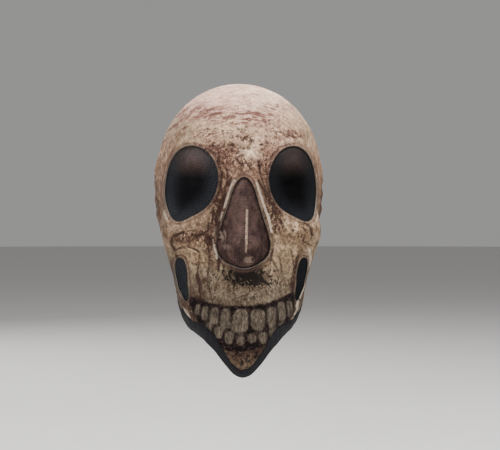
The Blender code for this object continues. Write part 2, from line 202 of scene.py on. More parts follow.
# Sutures printed on the back of the skull, as (azimuth, elevation) in degrees.
SUTURES = (
    ((180, 38), (160, 30), (143, 16), (128, 2), (118, -8)),
    ((180, 38), (-160, 30), (-143, 16), (-128, 2), (-118, -8)),
    ((118, -8), (104, 8), (98, 26), (112, 40), (134, 38)),
    ((-118, -8), (-104, 8), (-98, 26), (-112, 40), (-134, 38)),
    ((180, 38), (176, 52), (170, 66), (160, 80)),
)

# Teeth in the print: middle u, top w, bottom w, half width at the top and at the bottom, and lean.
UPPER_TEETH = (
    (-42.5, -103, -114, 2.4, 2.8, 0.6),
    (-36.0, -105, -119, 3.0, 3.4, 0.5),
    (-27.6, -106, -123.0, 3.9, 4.6, 0.6),
    (-17.2, -107, -127.0, 4.4, 5.4, 0.4),
    (-3.4, -107.5, -130.6, 6.6, 9.2, 1.2),
    (13.6, -108, -129.0, 7.8, 7.0, -0.6),
    (27.2, -106, -126.4, 5.2, 4.6, -0.5),
    (37.0, -101, -120.0, 4.4, 3.9, -0.8),
    (45.4, -100, -117.0, 3.2, 3.0, -0.6),
)
LOWER_TEETH = (
    (-32.4, -120.6, -131.6, 3.6, 2.8, 0.4),
    (-23.6, -124.6, -136.8, 5.0, 3.8, 0.4),
    (-13.6, -129.2, -142.0, 5.0, 4.0, 0.3),
    (-2.8, -133.0, -143.4, 4.6, 3.8, 0.0),
    (8.2, -131.2, -141.0, 5.0, 4.4, 0.2),
    (19.0, -130.0, -142.0, 5.3, 3.8, -0.3),
    (29.2, -127.0, -138.0, 4.8, 3.6, -0.4),
    (37.8, -121.0, -130.0, 3.9, 3.2, -0.4),
)
MOUTH = (
    (-50, -97), (-40, -100), (-30, -103), (-17, -104.8), (1, -105.2), (18, -103.6), (31, -99.5), (42, -95),
    (50, -94), (49, -110), (43, -124), (34, -136), (20, -143.5), (4, -148), (-14, -148), (-28, -140),
    (-38, -128), (-46, -113),
)  # fmt: skip

# Drawn lines of the print: points, then half the line's width in millimetres.
CRACKS = (
    (((-12, 17), (-17, 2), (-20, -9), (-23, -20), (-25, -34)), 1.3),
    (((14, 14), (20, 3), (26, -10), (33, -20), (38, -30)), 1.4),
    (((-26, -22), (-25, -39), (-22, -55), (-24, -72)), 1.4),
    (((-68, -40), (-56, -35), (-44, -39), (-34, -35)), 1.2),
    (((-68, -44), (-64, -54), (-60, -62)), 1.0),
    (((-44, -76), (-41, -88), (-38, -99)), 1.0),
    (((56, -52), (52, -60), (49, -80), (47, -97)), 1.2),
    (((58, -26), (64, -30), (66, -38)), 0.9),
    (((-44, -97), (-38, -101), (-30, -104.5), (-14, -107.5), (4, -108), (22, -106), (34, -101.5), (46, -95)),
     1.4),
    (((3, 66), (1, 60), (6, 57), (0, 54), (7, 51), (4, 47)), 0.4),
    (((28, -62), (34, -72), (33, -84)), 0.6),
    (((-30, -122), (-36, -132), (-28, -142)), 0.8),
    (((34, -138), (24, -146), (10, -149), (-8, -148), (-22, -143)), 0.9),
    (((-60, 32), (-46, 44), (-32, 43), (-20, 30)), 0.7),
    (((24, 34), (34, 46), (50, 49)), 0.6),
    (((-25, 33), (-20.5, 22), (-22, 7), (-28, -10), (-30, -28)), 0.8),
    (((-17, 28), (-15, 18), (-18, 5), (-25, -16), (-27, -38)), 0.7),
    (((-33, -26), (-34, -43), (-32, -60)), 0.8),
    (((13, 33), (15, 22), (21, 5), (29, -10), (38, -20)), 0.8),
    (((21, 35), (21, 24), (27, 10), (35, -3)), 0.7),
    (((25, -42), (28, -52), (26, -62)), 0.7),
    (((54, -28), (61, -35), (57, -43), (65, -48)), 0.7),
    (((-64, -52), (-53, -48), (-41, -54)), 0.8),
    (((-41, -57), (-43, -73), (-39, -88)), 0.7),
    (((-32, -64), (-34, -81), (-31, -95)), 0.6),
    (((35, -60), (38, -76), (35, -92)), 0.5),
    (((46, -52), (49, -69), (45, -90)), 0.6),
    (((-3, 52), (2, 56), (10, 52), (4, 46), (-2, 42)), 0.35),
    (((31, 61), (40, 59), (50, 55), (56, 56)), 0.7),
    (((-42, 61), (-34, 63), (-24, 59)), 0.35),
    (((-48, -100), (-44, -112), (-38, -124), (-34, -134)), 0.9),
    (((48, -112), (44, -124), (36, -136)), 0.9),
)
LIGHT_LINES = (
    (((64, -52), (66, -62), (65, -76), (58, -92), (52, -106)), 1.1),
    (((-9, 14), (-14, 5), (-18, -10), (-23, -24)), 0.9),
    (((12, 12), (18, -6), (24, -22), (27, -36)), 0.9),
    (((-26, -30), (-28, -42), (-27, -52), (-25, -60)), 0.8),
    (((-55, -106), (-47, -121), (-38, -137), (-24, -153)), 0.4),
    (((53, -108), (48, -122), (42, -128)), 0.9),
    (((-74.5, 6), (-75, -10), (-71, -24)), 0.5),
    (((75.5, 10), (75, -10), (71, -24)), 0.5),
)

# The print's ground colour by height w in the print, with painted light and shade laid in: lighter towards
# the crown, as lit from above, and darker down the lower face.
GROUND_LIT_FROM_ABOVE = (
    (-170, (0.072, 0.052, 0.040)), (-150, (0.080, 0.058, 0.045)), (-125, (0.085, 0.063, 0.049)),
    (-100, (0.128, 0.104, 0.078)), (-80, (0.205, 0.166, 0.12)), (-60, (0.30, 0.232, 0.165)),
    (-30, (0.34, 0.252, 0.176)), (0, (0.30, 0.205, 0.148)), (30, (0.36, 0.24, 0.172)),
    (48, (0.43, 0.295, 0.212)), (62, (0.49, 0.345, 0.25)), (76, (0.55, 0.375, 0.285)),
    (88, (0.61, 0.42, 0.33)), (104, (0.69, 0.49, 0.38)),
)  # fmt: skip

# Washes of the print, with a painted highlight on the crown among them: (u, w), radii, strength and colour
# name, and "both" for one on each side.
BONE = {
    "cream": (0.86, 0.68, 0.50),
    "sand": (0.56, 0.415, 0.27),
    "pink": (0.62, 0.40, 0.33),
    "olive": (0.235, 0.185, 0.115),
    "grey": (0.19, 0.155, 0.115),
    "umber": (0.12, 0.078, 0.056),
    "plum": (0.20, 0.105, 0.082),
    "soot": (0.014, 0.011, 0.011),
}
WASHES = (
    # painted highlight: cream where the crown catches the light
    ((34, 98), (28, 12), 0.75, "cream"),
    ((-6, 92), (32, 12), 0.4, "pink"),
    ((-44, 84), (20, 12), 0.45, "pink"),
    ((62, 72), (12, 26), 0.55, "sand"),
    ((-56, 60), (13, 16), 0.6, "olive"),
    ((60, 58), (12, 14), 0.5, "olive"),
    ((-22, 62), (22, 8), 0.5, "sand"),
    ((24, 60), (18, 7), 0.35, "sand"),
    ((-26, 42), (16, 7), 0.65, "plum"),
    ((28, 42), (12, 8), 0.5, "plum"),
    ((5, 38), (8, 8), 0.9, "cream"),
    ((-16, 24), (9, 16), 0.3, "plum"),
    ((19, 26), (8, 14), 0.5, "plum"),
    ((-22, -6), (8, 26), 0.35, "umber"),
    ((25, -8), (9, 24), 0.2, "grey"),
    ((50, -30), (24, 16), 0.35, "sand"),
    ((-52, -42), (24, 8), 0.4, "plum"),
    ((-44, -56), (12, 12), 0.6, "sand"),
    ((-30, -38), (9, 26), 0.35, "umber"),
    ((38, -58), (18, 22), 0.3, "sand"),
    ((2, -94), (44, 14), 0.4, "grey"),
    ((2, -76), (20, 8), 0.55, "soot"),
    ((6, -71), (16, 4), 0.6, "soot"),
    ((-36, -82), (14, 16), 0.4, "grey"),
    ((-44, -112), (12, 26), 0.5, "grey"),
    ((2, -158), (20, 8), 0.12, "sand"),
    ((78, -24), (5, 26), 0.6, "umber", "both"),
    ((-67, -80), (5, 24), 0.95, "soot"),
)
# How thickly each kind of mark lies: (u, w), radii and strength.
NETWORK_MARKS = (
    ((3, 30), (28, 14), 0.85), ((7, 40), (8, 7), -0.9), ((3, 58), (9, 10), 0.6), ((-24, -6), (9, 28), 1.0),
    ((28, -8), (9, 28), 1.0), ((-50, -40), (22, 12), 0.9), ((-44, -110), (14, 24), 1.2),
    ((0, -148), (34, 12), 0.8), ((46, -30), (28, 18), 0.4), ((-38, 43), (18, 8), 0.6),
    ((44, -110), (10, 20), 0.6), ((0, 44), (62, 9), 0.4), ((0, 0), (80, 90), 0.18),
    ((-28, -50), (10, 26), 0.7),
)  # fmt: skip
STROKE_MARKS = (
    ((-42, 78), (26, 9), 1.0), ((-12, 76), (26, 8), 1.1), ((20, 71), (28, 8), 1.1), ((36, 82), (18, 8), 0.7),
    ((-34, 58), (17, 6), 1.1), ((43, 58), (17, 6), 1.6), ((-66, 60), (12, 20), 0.8), ((0, 90), (60, 12), 0.3),
)  # fmt: skip
SPECKLE_MARKS = (
    ((2, -76), (23, 9), 2.7), ((2, -70), (20, 4), 1.0), ((16, -86), (24, 8), 1.4), ((0, -154), (28, 14), 1.7),
    ((-34, -86), (14, 12), 0.8), ((0, -98), (44, 6), 0.5), ((0, 46), (66, 16), 0.75),
    ((50, -34), (26, 24), 0.75), ((-46, -58), (22, 22), 0.5), ((0, 64), (70, 16), 0.5),
)  # fmt: skip

# Torn light patches in the nose's net.
SHREDS = (
    ((-20, -38), (5, 8), 1.2), ((-16, -50), (6, 4), 0.9), ((-17, -8), (3, 9), 0.8), ((4, -62), (8, 7), 1.0),
)  # fmt: skip


def unit(vectors):
    return vectors / np.linalg.norm(vectors, axis=-1, keepdims=True)


def ellipsoid_distance(points, centre, radii):
    """Roughly how far points are outside an ellipsoid, negative inside it."""
    scaled = (points - centre) / radii
    near = np.linalg.norm(scaled, axis=-1)
    slope = np.linalg.norm(scaled / radii, axis=-1)
    return near * (near - 1) / np.maximum(slope, 1e-9)


def form_distance(points):
    """Roughly how far points (metres) are outside the head form, negative inside it."""
    points = np.asarray(points) / MM
    forms = list(MIDDLE_FORMS.values())
    for (x, y, z), radii in PAIRED_FORMS.values():
        forms += [((x, y, z), radii), ((-x, y, z), radii)]
    each = np.array([ellipsoid_distance(points, np.array(c), np.array(r)) for c, r in forms])
    nearest = each.min(axis=0)
    return (nearest - FLOW * np.log(np.exp((nearest - each) / FLOW).sum(axis=0))) * MM


def form_normals(points):
    step = 0.5 * MM
    axes = np.eye(3) * step
    slope = np.stack([form_distance(points + a) - form_distance(points - a) for a in axes], axis=-1)
    return unit(slope)


def outermost_hit(starts, directions, reach):
    """Where rays from starts leave the head form for the last time, looking back from reach metres out."""
    steps = np.linspace(reach, 0, 48)
    inside = np.array([form_distance(starts + directions * t) < 0 for t in steps])
    first = inside.argmax(axis=0)
    out, into = steps[np.maximum(first - 1, 0)], steps[first]
    for _ in range(18):
        middle = (out + into) / 2
        within = form_distance(starts + directions * middle[:, None]) < 0
        into, out = np.where(within, middle, into), np.where(within, out, middle)
    return starts + directions * into[:, None]


def on_form(directions):
    directions = unit(np.asarray(directions, float))
    return outermost_hit(np.zeros_like(directions), directions, FORM_REACH)


def seen_from_front(outline_mm):
    """Points of the head form behind a drawing on the plane through the origin, (u, w) in millimetres."""
    x, z = (np.asarray(outline_mm, float) * MM).T
    plane = np.stack([x, np.zeros_like(x), z], axis=1)
    return outermost_hit(plane, unit(DRAWN_FROM - plane), FRONT_REACH)


def smooth_loop(points, spacing):
    """A closed Catmull-Rom curve through points, sampled evenly."""
    points = np.asarray(points, float)
    n = len(points)
    fine = []
    for i in range(n):
        a, b, c, d = (points[(i + k) % n] for k in (-1, 0, 1, 2))
        square, cube = 2 * a - 5 * b + 4 * c - d, 3 * b - a - 3 * c + d
        for t in np.arange(0, 1, 1 / 24):
            fine.append(0.5 * (2 * b + (c - a) * t + square * t**2 + cube * t**3))
    return evenly_round(np.array(fine), spacing)


def evenly(line, spacing):
    """A polyline sampled again with nearly even steps, its ends kept."""
    lengths = np.linalg.norm(np.diff(line, axis=0), axis=1)
    along = np.concatenate([[0], np.cumsum(lengths)])
    count = max(2, round(along[-1] / spacing))
    at = np.linspace(0, along[-1], count + 1)
    return np.stack([np.interp(at, along, line[:, k]) for k in range(line.shape[1])], axis=1)


def evenly_round(loop, spacing):
    """A closed loop sampled again with even steps."""
    return evenly(np.concatenate([loop, loop[:1]]), spacing)[:-1]


def direction(azimuth, elevation):
    """Unit vector, from degrees: azimuth 0 is the front (-Y) and 90 the wearer's left (+X)."""
    a, e = np.radians(azimuth), np.radians(elevation)
    return np.stack([np.sin(a) * np.cos(e), -np.cos(a) * np.cos(e), np.sin(e)], axis=-1)


def smooth_table(azimuth, values):
    """Cubic through a table by HEM_AZIMUTH, level at the front and the back."""
    azimuth = np.abs((np.asarray(azimuth, float) + 180) % 360 - 180)
    x, y = np.array(HEM_AZIMUTH, float), np.array(values, float)
    slopes = np.gradient(y, x)
    slopes[0] = slopes[-1] = 0
    i = np.clip(np.searchsorted(x, azimuth, side="right") - 1, 0, len(x) - 2)
    span = x[i + 1] - x[i]
    t = (azimuth - x[i]) / span
    return (
        y[i] * (2 * t**3 - 3 * t**2 + 1)
        + slopes[i] * span * (t**3 - 2 * t**2 + t)
        + y[i + 1] * (3 * t**2 - 2 * t**3)
        + slopes[i + 1] * span * (t**3 - t**2)
    )


def hem_elevation(azimuth):
    return smooth_table(azimuth, HEM_ELEVATION)


def band_elevation(azimuth):
    return smooth_table(azimuth, np.array(HEM_ELEVATION) + np.array(BAND_RISE))


def angles_of(points):
    """(azimuth, elevation) in degrees of points seen from the origin."""
    x, y, z = points.T
    return np.degrees(np.arctan2(x, -y)), np.degrees(np.arctan2(z, np.hypot(x, y)))


def above_band(points):
    """How far points on the form are above the band's seam, along the cloth."""
    azimuth, elevation = angles_of(points)
    return np.radians(elevation - band_elevation(azimuth)) * np.linalg.norm(points, axis=1)


def crown_seam(spacing):
    """The seam from the band on the wearer's right, over the crown, to the band on the left."""
    lean = np.array([0, SEAM_LEAN, 1]) / math.hypot(1, SEAM_LEAN)
    turn = np.radians(np.linspace(-160, 160, 641))
    rays = np.outer(np.cos(turn), lean) + np.outer(np.sin(turn), [1, 0, 0])
    start = np.tile([0, SEAM_Y, 0], (len(turn), 1))
    points = outermost_hit(start, rays, CROWN_REACH)
    azimuth, elevation = angles_of(points)
    return evenly(points[elevation > band_elevation(azimuth)], spacing)


def band_seam(start, end):
    stations = TURN[(TURN > start + 0.6) & (TURN < end - 0.6)]
    return on_form(direction(stations, band_elevation(stations)))


def back_middle(spacing):
    """The centre-back seam, from the crown seam down to the band."""
    crown = crown_seam(1 * MM)
    top = crown[np.abs(crown[:, 0]).argmin()]
    high = 180 - math.degrees(math.atan2(top[2], top[1]))
    low = 180 - float(band_elevation(180))
    turn = np.radians(np.linspace(high, low, 241))
    rays = np.stack([np.zeros_like(turn), -np.cos(turn), np.sin(turn)], axis=1)
    return evenly(on_form(rays), spacing)


def segment_distance(points, a, b):
    """Distance of points from the segment a to b, and how far along it each one is, from 0 to 1."""
    a, b = np.asarray(a, float), np.asarray(b, float)
    along = np.clip((points - a) @ (b - a) / ((b - a) @ (b - a)), 0, 1)
    return np.linalg.norm(points - a - along[:, None] * (b - a), axis=1), along


def seam_distances(points):
    """How far points are from the crown seam and from the centre-back seam."""
    y, z = points[:, 1], points[:, 2]
    behind = y - SEAM_Y - SEAM_LEAN * z
    return np.abs(behind) / math.hypot(1, SEAM_LEAN), np.where(behind > 0, np.abs(points[:, 0]), 1.0)


def arc_distance(points, start, end):
    """How far points are from the arc between two directions, in metres, and where along it each one is."""
    a, b = direction(*start), direction(*end)
    rays = unit(points)
    _, along = segment_distance(rays, a, b)
    near = unit(a + along[:, None] * (b - a))
    return np.linalg.norm(rays - near, axis=1) * np.linalg.norm(points, axis=1), along


def folds(points):
    """How far the cloth stands off the head form: seams pull it in, slack cloth wrinkles out."""
    x, y, z = points.T
    height = np.zeros(len(points))
    for start, end, tall, wide in FOLDS:
        away, along = arc_distance(points, start, end)
        across = away / MM / wide
        crease = np.exp(-(across**1.5)) - 0.35 * np.exp(-((across - 2) ** 2))
        height += tall * MM * crease * np.sin(np.pi * along) ** 0.5
    crown, middle = seam_distances(points)
    band = np.abs(above_band(points))
    round_head = np.arctan2(x, z) * 90
    round_neck = np.arctan2(x, y) * 75
    for off, along in ((crown, round_head), (middle, z / MM), (band, round_neck)):
        uneven = along + 2.3 * np.sin(along / 11.0) + 1.4 * np.sin(along / 4.7)
        pucker = np.sin(uneven * 2 * np.pi / PUCKER_LENGTH)
        height -= SEAM_DIP * np.exp(-((off / SEAM_DIP_WIDTH) ** 2))
        height += PUCKER_HEIGHT * pucker * np.exp(-((off / PUCKER_REACH) ** 2))
    return height


def cloth(points, depth):
    """Points of the form moved to where that layer of cloth is."""
    return points + form_normals(points) * (folds(points) - depth)[:, None]


class Projection:
    """A flat map of directions round a middle one, true to angle along each spoke."""

    def __init__(self, middle):
        self.middle = np.array(middle, float)
        self.across = np.cross([0, 0, 1.0], self.middle)
        self.up = np.cross(self.middle, self.across)

    def flatten(self, points):
        rays = unit(points)
        ahead = np.clip(rays @ self.middle, -1, 1)
        flat = np.stack([rays @ self.across, rays @ self.up], axis=1)
        length = np.linalg.norm(flat, axis=1, keepdims=True)
        return flat / np.maximum(length, 1e-12) * np.arccos(ahead)[:, None]

    def directions(self, flat):
        angle = np.linalg.norm(flat, axis=1, keepdims=True)
        spoke = flat / np.maximum(angle, 1e-12)
        outwards = spoke[:, :1] * self.across + spoke[:, 1:] * self.up
        return np.cos(angle) * self.middle + np.sin(angle) * outwards


FRONT = Projection((0, -1, 0))
BACK = Projection((0, 1, 0))


def counter_clockwise(flat):
    x, y = flat.T
    area = (x * np.roll(y, -1) - np.roll(x, -1) * y).sum()
    return flat if area > 0 else flat[::-1]


def offset_loop(flat, distance):
    """A closed counter-clockwise outline moved inwards by distance (a number, or one for each point)."""
    tangent = np.roll(flat, -1, axis=0) - np.roll(flat, 1, axis=0)
    tangent /= np.maximum(np.linalg.norm(tangent, axis=1, keepdims=True), 1e-12)
    inward = np.stack([-tangent[:, 1], tangent[:, 0]], axis=1)
    return flat + inward * np.reshape(distance, (-1, 1))


def inside_loop(points, loop):
    """Which points a closed outline holds."""
    held = np.zeros(len(points), bool)
    x, y = points.T
    for (ax, ay), (bx, by) in zip(loop, np.roll(loop, -1, axis=0)):
        if ay != by:
            held ^= ((ay > y) != (by > y)) & (x < (bx - ax) * (y - ay) / (by - ay) + ax)
    return held


def distance_to(points, corners):
    """Distance of points to the nearest corner."""
    tree = KDTree(len(corners))
    for i, corner in enumerate(corners):
        tree.insert((*corner, 0), i)
    tree.balance()
    return np.array([tree.find((*p, 0))[2] for p in points])


def filled(projection, outline, holes, spacing):
    """Triangles over an outline with holes, as points on the head form and faces."""
    step = spacing / HEAD_RADIUS
    outline = counter_clockwise(outline)
    loops = [outline, *(counter_clockwise(h) for h in holes)]
    low, high = outline.min(axis=0), outline.max(axis=0)
    rows = np.arange(low[1], high[1], step * 0.866)
    grid = []
    for i, y in enumerate(rows):
        grid += [(x, y) for x in np.arange(low[0] + i % 2 * step / 2, high[0], step)]
    grid = np.array(grid)
    keep = inside_loop(grid, outline)
    for hole in loops[1:]:
        keep &= ~inside_loop(grid, hole)
    grid = grid[keep]
    grid = grid[distance_to(grid, np.concatenate(loops)) > 0.55 * step]
    edges, start = [], 0
    for loop in loops:
        edges += [(start + i, start + (i + 1) % len(loop)) for i in range(len(loop))]
        start += len(loop)
    points = [Vector(p) for p in np.concatenate([*loops, grid])]
    flat, _, faces, *_ = delaunay_2d_cdt(points, edges, [], 0, 1e-9, False)
    flat = np.array([tuple(p) for p in flat])
    faces = np.array(faces)
    centres = flat[faces].mean(axis=1)
    keep = inside_loop(centres, outline)
    for hole in loops[1:]:
        keep &= ~inside_loop(centres, hole)
    return on_form(projection.directions(flat)), faces[keep]


def print_place(points):
    """(u, w) in millimetres of points, as the print was drawn from in front."""
    share = -DRAWN_FROM[1] / (points[:, 1] - DRAWN_FROM[1])
    place = DRAWN_FROM + (points - DRAWN_FROM) * share[:, None]
    return place[:, [0, 2]] / MM


def loop_distance(places, outline):
    """Signed distance in millimetres from a closed outline in the print, negative inside."""
    loop = smooth_loop(outline, 1.5)
    away = np.full(len(places), 1e9)
    for a, b in zip(loop, np.roll(loop, -1, axis=0)):
        away = np.minimum(away, segment_distance(places, a, b)[0])
    return np.where(inside_loop(places, loop), -away, away)


def line_distance(places, lines):
    """How far places are from the nearest of some drawn lines."""
    away = np.full(len(places), 99.0)
    for line, half in lines:
        for a, b in zip(line, line[1:]):
            away = np.minimum(away, segment_distance(places, a, b)[0] - half)
    return away


def suture_distance(points):
    """How far points are from the printed sutures, in millimetres."""
    away = np.full(len(points), 99.0)
    for line in SUTURES:
        for start, end in zip(line, line[1:]):
            away = np.minimum(away, arc_distance(points, start, end)[0] / MM)
    return away


def mirrored(outline):
    return [(-u, w) for u, w in outline[::-1]]


def paired_distance(places, outline):
    """Signed distance from an outline or from its mirror image, whichever is nearer."""
    return np.minimum(loop_distance(places, outline), loop_distance(places, mirrored(outline)))


def nose_loop():
    return [*NOSE_OUTLINE, *mirrored(NOSE_OUTLINE)[1:-1]]


def tooth_distance(places, tooth):
    """Signed distance in millimetres from a tooth: a rounded box that tapers and leans."""
    middle, top, bottom, wide_top, wide_bottom, lean = tooth
    half = (top - bottom) / 2
    v = (places[:, 1] - (top + bottom) / 2) / half
    wide = (wide_top + wide_bottom) / 2 + (wide_top - wide_bottom) / 2 * v
    r = min(wide_top, wide_bottom) * 0.8
    across = np.abs(places[:, 0] - middle - lean * v) - wide + r
    along = np.abs(v) * half - half + r
    outside = np.hypot(np.maximum(across, 0), np.maximum(along, 0))
    return outside + np.minimum(np.maximum(across, along), 0) - r


def marks(places, table):
    """How thickly a kind of mark lies at each place."""
    total = np.zeros(len(places))
    for (u, w), (ru, rw), strength in table:
        total += strength * np.exp(-(((places[:, 0] - u) / ru) ** 2) - ((places[:, 1] - w) / rw) ** 2)
    return total


def washes(places):
    """The print's soft colours at each place, with painted light and shade, laid over each other in order."""
    # painted light and shade: the ground grows lighter towards the crown and darker down the lower face
    heights, grounds = zip(*GROUND_LIT_FROM_ABOVE)
    colours = np.stack([np.interp(places[:, 1], heights, channel) for channel in zip(*grounds)], axis=1)
    for (u, w), (ru, rw), strength, name, *both in WASHES:
        across = np.abs(places[:, 0]) - u if both else places[:, 0] - u
        if both:
            across = np.minimum(across, 0)
        cover = strength * np.exp(-((across / ru) ** 2) - ((places[:, 1] - w) / rw) ** 2)
        colours += (np.array(BONE[name]) - colours) * cover[:, None]
    return colours


def set_values(mesh, name, values):
    """A number, a vector or a colour for each corner point of a mesh."""
    values = np.asarray(values, np.float32)
    kind = {1: "FLOAT", 3: "FLOAT_VECTOR", 4: "FLOAT_COLOR"}[1 if values.ndim == 1 else values.shape[1]]
    layer = mesh.attributes.new(name, kind, "POINT")
    key = {"FLOAT": "value", "FLOAT_VECTOR": "vector", "FLOAT_COLOR": "color"}[kind]
    layer.data.foreach_set(key, values.ravel())


def set_print(mesh, points):
    """Everything that the print's shader reads, for points on the head form."""
    places = print_place(points)
    u, w = places.T
    behind = points[:, 1] > PRINT_BACK
    far = np.where(behind, 99.0, 0.0)
    teeth = np.min([tooth_distance(places, t) for t in UPPER_TEETH + LOWER_TEETH], axis=0)
    round_side = np.abs(angles_of(points)[0]) - np.interp(w, (-70, 0), (56, 70))
    round_side = np.clip(round_side, 0, 30) * 0.3
    turn = np.arctan2(u, w + 12)
    side = np.exp(-(((points[:, 1] / MM - 1) / 14) ** 2) - ((points[:, 2] / MM + 4) / 38) ** 2)
    fade = np.clip((points[:, 1] / MM - 10) / 30, 0, 1)[:, None]
    # the wash carries painted light and shade: lighter towards the crown, a painted highlight on it, darker
    # down the lower face
    colours = washes(places) * (1 - fade) + np.array(BONE["olive"]) * fade
    layers = {
        "eye_away": paired_distance(places, EYE_OUTLINE) + far,
        "nose_away": loop_distance(places, nose_loop()) + far,
        "cheek_away": paired_distance(places, CHEEK_OUTLINE) + far,
        "tooth_away": teeth + far,
        "mouth_away": loop_distance(places, MOUTH) + far,
        "crack_away": line_distance(places, CRACKS) + far,
        "light_away": line_distance(places, LIGHT_LINES) + round_side + far,
        "band_away": above_band(points) / MM,
        "seam_away": np.minimum(*seam_distances(points)) / MM,
        "suture_away": suture_distance(points),
        "network": np.where(behind, np.interp(w, (-90, 20), (0.7, 0.25)), marks(places, NETWORK_MARKS)),
        "strokes": np.where(behind, 0.2, marks(places, STROKE_MARKS)),
        "speckle": np.where(behind, np.interp(w, (-90, 40), (1.1, 0.5)), marks(places, SPECKLE_MARKS)),
        "mottled": np.where(behind, 1.0, np.interp(w, (35, 80), (1.0, 0.5))),
        "arcs": np.stack([np.hypot(u, w + 12) * MM, turn * 16 * MM, np.zeros_like(u)], axis=1),
        "upright": np.stack([u, w * 0.28, points[:, 1] / MM], axis=1) * MM,
        "side": np.where(np.abs(points[:, 0]) > 50 * MM, side, 0),
        "wash": np.concatenate([colours, np.ones((len(points), 1))], axis=1),
    }
    for name, values in layers.items():
        set_values(mesh, name, values)


def corners_of(obj):
    return np.array([v.co for v in obj.data.vertices])


def set_weave(mesh, projection, points):
    """Where each point lies on the flat cloth, in metres, for the knit's rows and columns."""
    flat = projection.flatten(points) * HEAD_RADIUS
    set_values(mesh, "weave", np.concatenate([flat, np.zeros((len(flat), 1))], axis=1))


def add_mesh(name, points, faces, material):
    mesh = bpy.data.meshes.new(name)
    mesh.from_pydata([tuple(p) for p in points], [], [tuple(int(i) for i in f) for f in faces])
    mesh.materials.append(material)
    mesh.shade_smooth()
    mesh.set_sharp_from_angle(angle=math.radians(55))
    obj = bpy.data.objects.new(name, mesh)
    bpy.context.scene.collection.objects.link(obj)
    return obj


def shell(surface, faces, depth, thickness):
    """Points and faces of a closed shell of cloth between two depths."""
    n = len(surface)
    points = np.concatenate([cloth(surface, depth), cloth(surface, depth + thickness)])
    a, b, c = (surface[faces[:, k]] for k in range(3))
    if (np.cross(b - a, c - a) * form_normals(a)).sum() < 0:
        faces = faces[:, ::-1]
    ends = np.concatenate([faces[:, [0, 1]], faces[:, [1, 2]], faces[:, [2, 0]]])
    pairs = {tuple(e) for e in ends.tolist()}
    rims = [(a, b) for a, b in pairs if (b, a) not in pairs]
    sides = [(b, a, a + n, b + n) for a, b in sorted(rims)]
    return points, faces.tolist() + (faces + n)[:, ::-1].tolist() + sides


def add_panel(name, projection, outline, holes, spacing, depth, thickness, material, printed=False):
    surface, faces = filled(projection, outline, holes, spacing)
    obj = add_mesh(name, *shell(surface, faces, depth, thickness), material)
    both = np.concatenate([surface, surface])
    set_weave(obj.data, projection, both)
    inner = np.concatenate([np.zeros(len(surface)), np.ones(len(surface))])
    set_values(obj.data, "inner", inner)
    if printed:
        set_print(obj.data, both)
    return obj


def strip(rows, depth, thickness, closed):
    """Points and faces of a strip of cloth through rows of points on the form, top row first."""
    section = [cloth(row, depth) for row in rows] + [cloth(row, depth + thickness) for row in rows[::-1]]
    n, sides = len(rows[0]), len(section)
    faces = []
    for i in range(n if closed else n - 1):
        j = (i + 1) % n
        for k in range(sides):
            below = (k + 1) % sides
            faces.append((k * n + i, k * n + j, below * n + j, below * n + i))
    if not closed:
        faces.append([k * n for k in range(sides)])
        faces.append([k * n + n - 1 for k in range(sides)][::-1])
    points = np.concatenate(section)
    a, b, c = (points[faces[0][k]] for k in range(3))
    if np.dot(np.cross(b - a, c - b), form_normals(rows[0][:1])[0]) < 0:
        faces = [f[::-1] for f in faces]
    return points, faces


def beside(line, offset, closed):
    """A line on the head form moved sideways along the cloth, to its left seen from outside."""
    if closed:
        tangent = np.roll(line, -1, axis=0) - np.roll(line, 1, axis=0)
    else:
        tangent = np.gradient(line, axis=0)
    return on_form(line + np.cross(form_normals(line), unit(tangent)) * offset)


def thread(points, closed, sides=5):
    """Points and faces of a round thread along a polyline."""
    ahead = np.roll(points, -1, axis=0) - np.roll(points, 1, axis=0)
    if not closed:
        ahead[0], ahead[-1] = points[1] - points[0], points[-1] - points[-2]
    ahead = unit(ahead)
    side = unit(np.cross(ahead, form_normals(points)))
    up = np.cross(side, ahead)
    turns = np.arange(sides) / sides * 2 * np.pi
    rings = [points + THREAD_RADIUS * (math.cos(t) * side + math.sin(t) * up) for t in turns]
    n = len(points)
    faces = []
    for i in range(n if closed else n - 1):
        j = (i + 1) % n
        for k in range(sides):
            after = (k + 1) % sides
            faces.append((k * n + i, after * n + i, after * n + j, k * n + j))
    if not closed:
        faces.append([k * n for k in range(sides)][::-1])
        faces.append([k * n + n - 1 for k in range(sides)])
    return np.concatenate(rings), faces


def merged(parts):
    """Several (points, faces) lists as one."""
    points, faces, start = [], [], 0
    for some, theirs in parts:
        points.append(some)
        faces += [[i + start for i in f] for f in theirs]
        start += len(some)
    return np.concatenate(points), faces


def zigzag(line, width, depth, closed):
    """A thread that crosses a line from side to side, bowed out at each turn."""
    count = len(line) // 2 * 2
    line = line[:count]
    left, right = beside(line, width / 2, closed), beside(line, -width / 2, closed)
    path = np.where((np.arange(count) % 2 == 0)[:, None], left, right)
    rounded = (path * 3 + np.roll(path, 1, axis=0)) / 4, (path * 3 + np.roll(path, -1, axis=0)) / 4
    both = np.stack(rounded, axis=1).reshape(-1, 3)
    if not closed:
        both = both[1:-1]
    return thread(cloth(both, depth), closed)


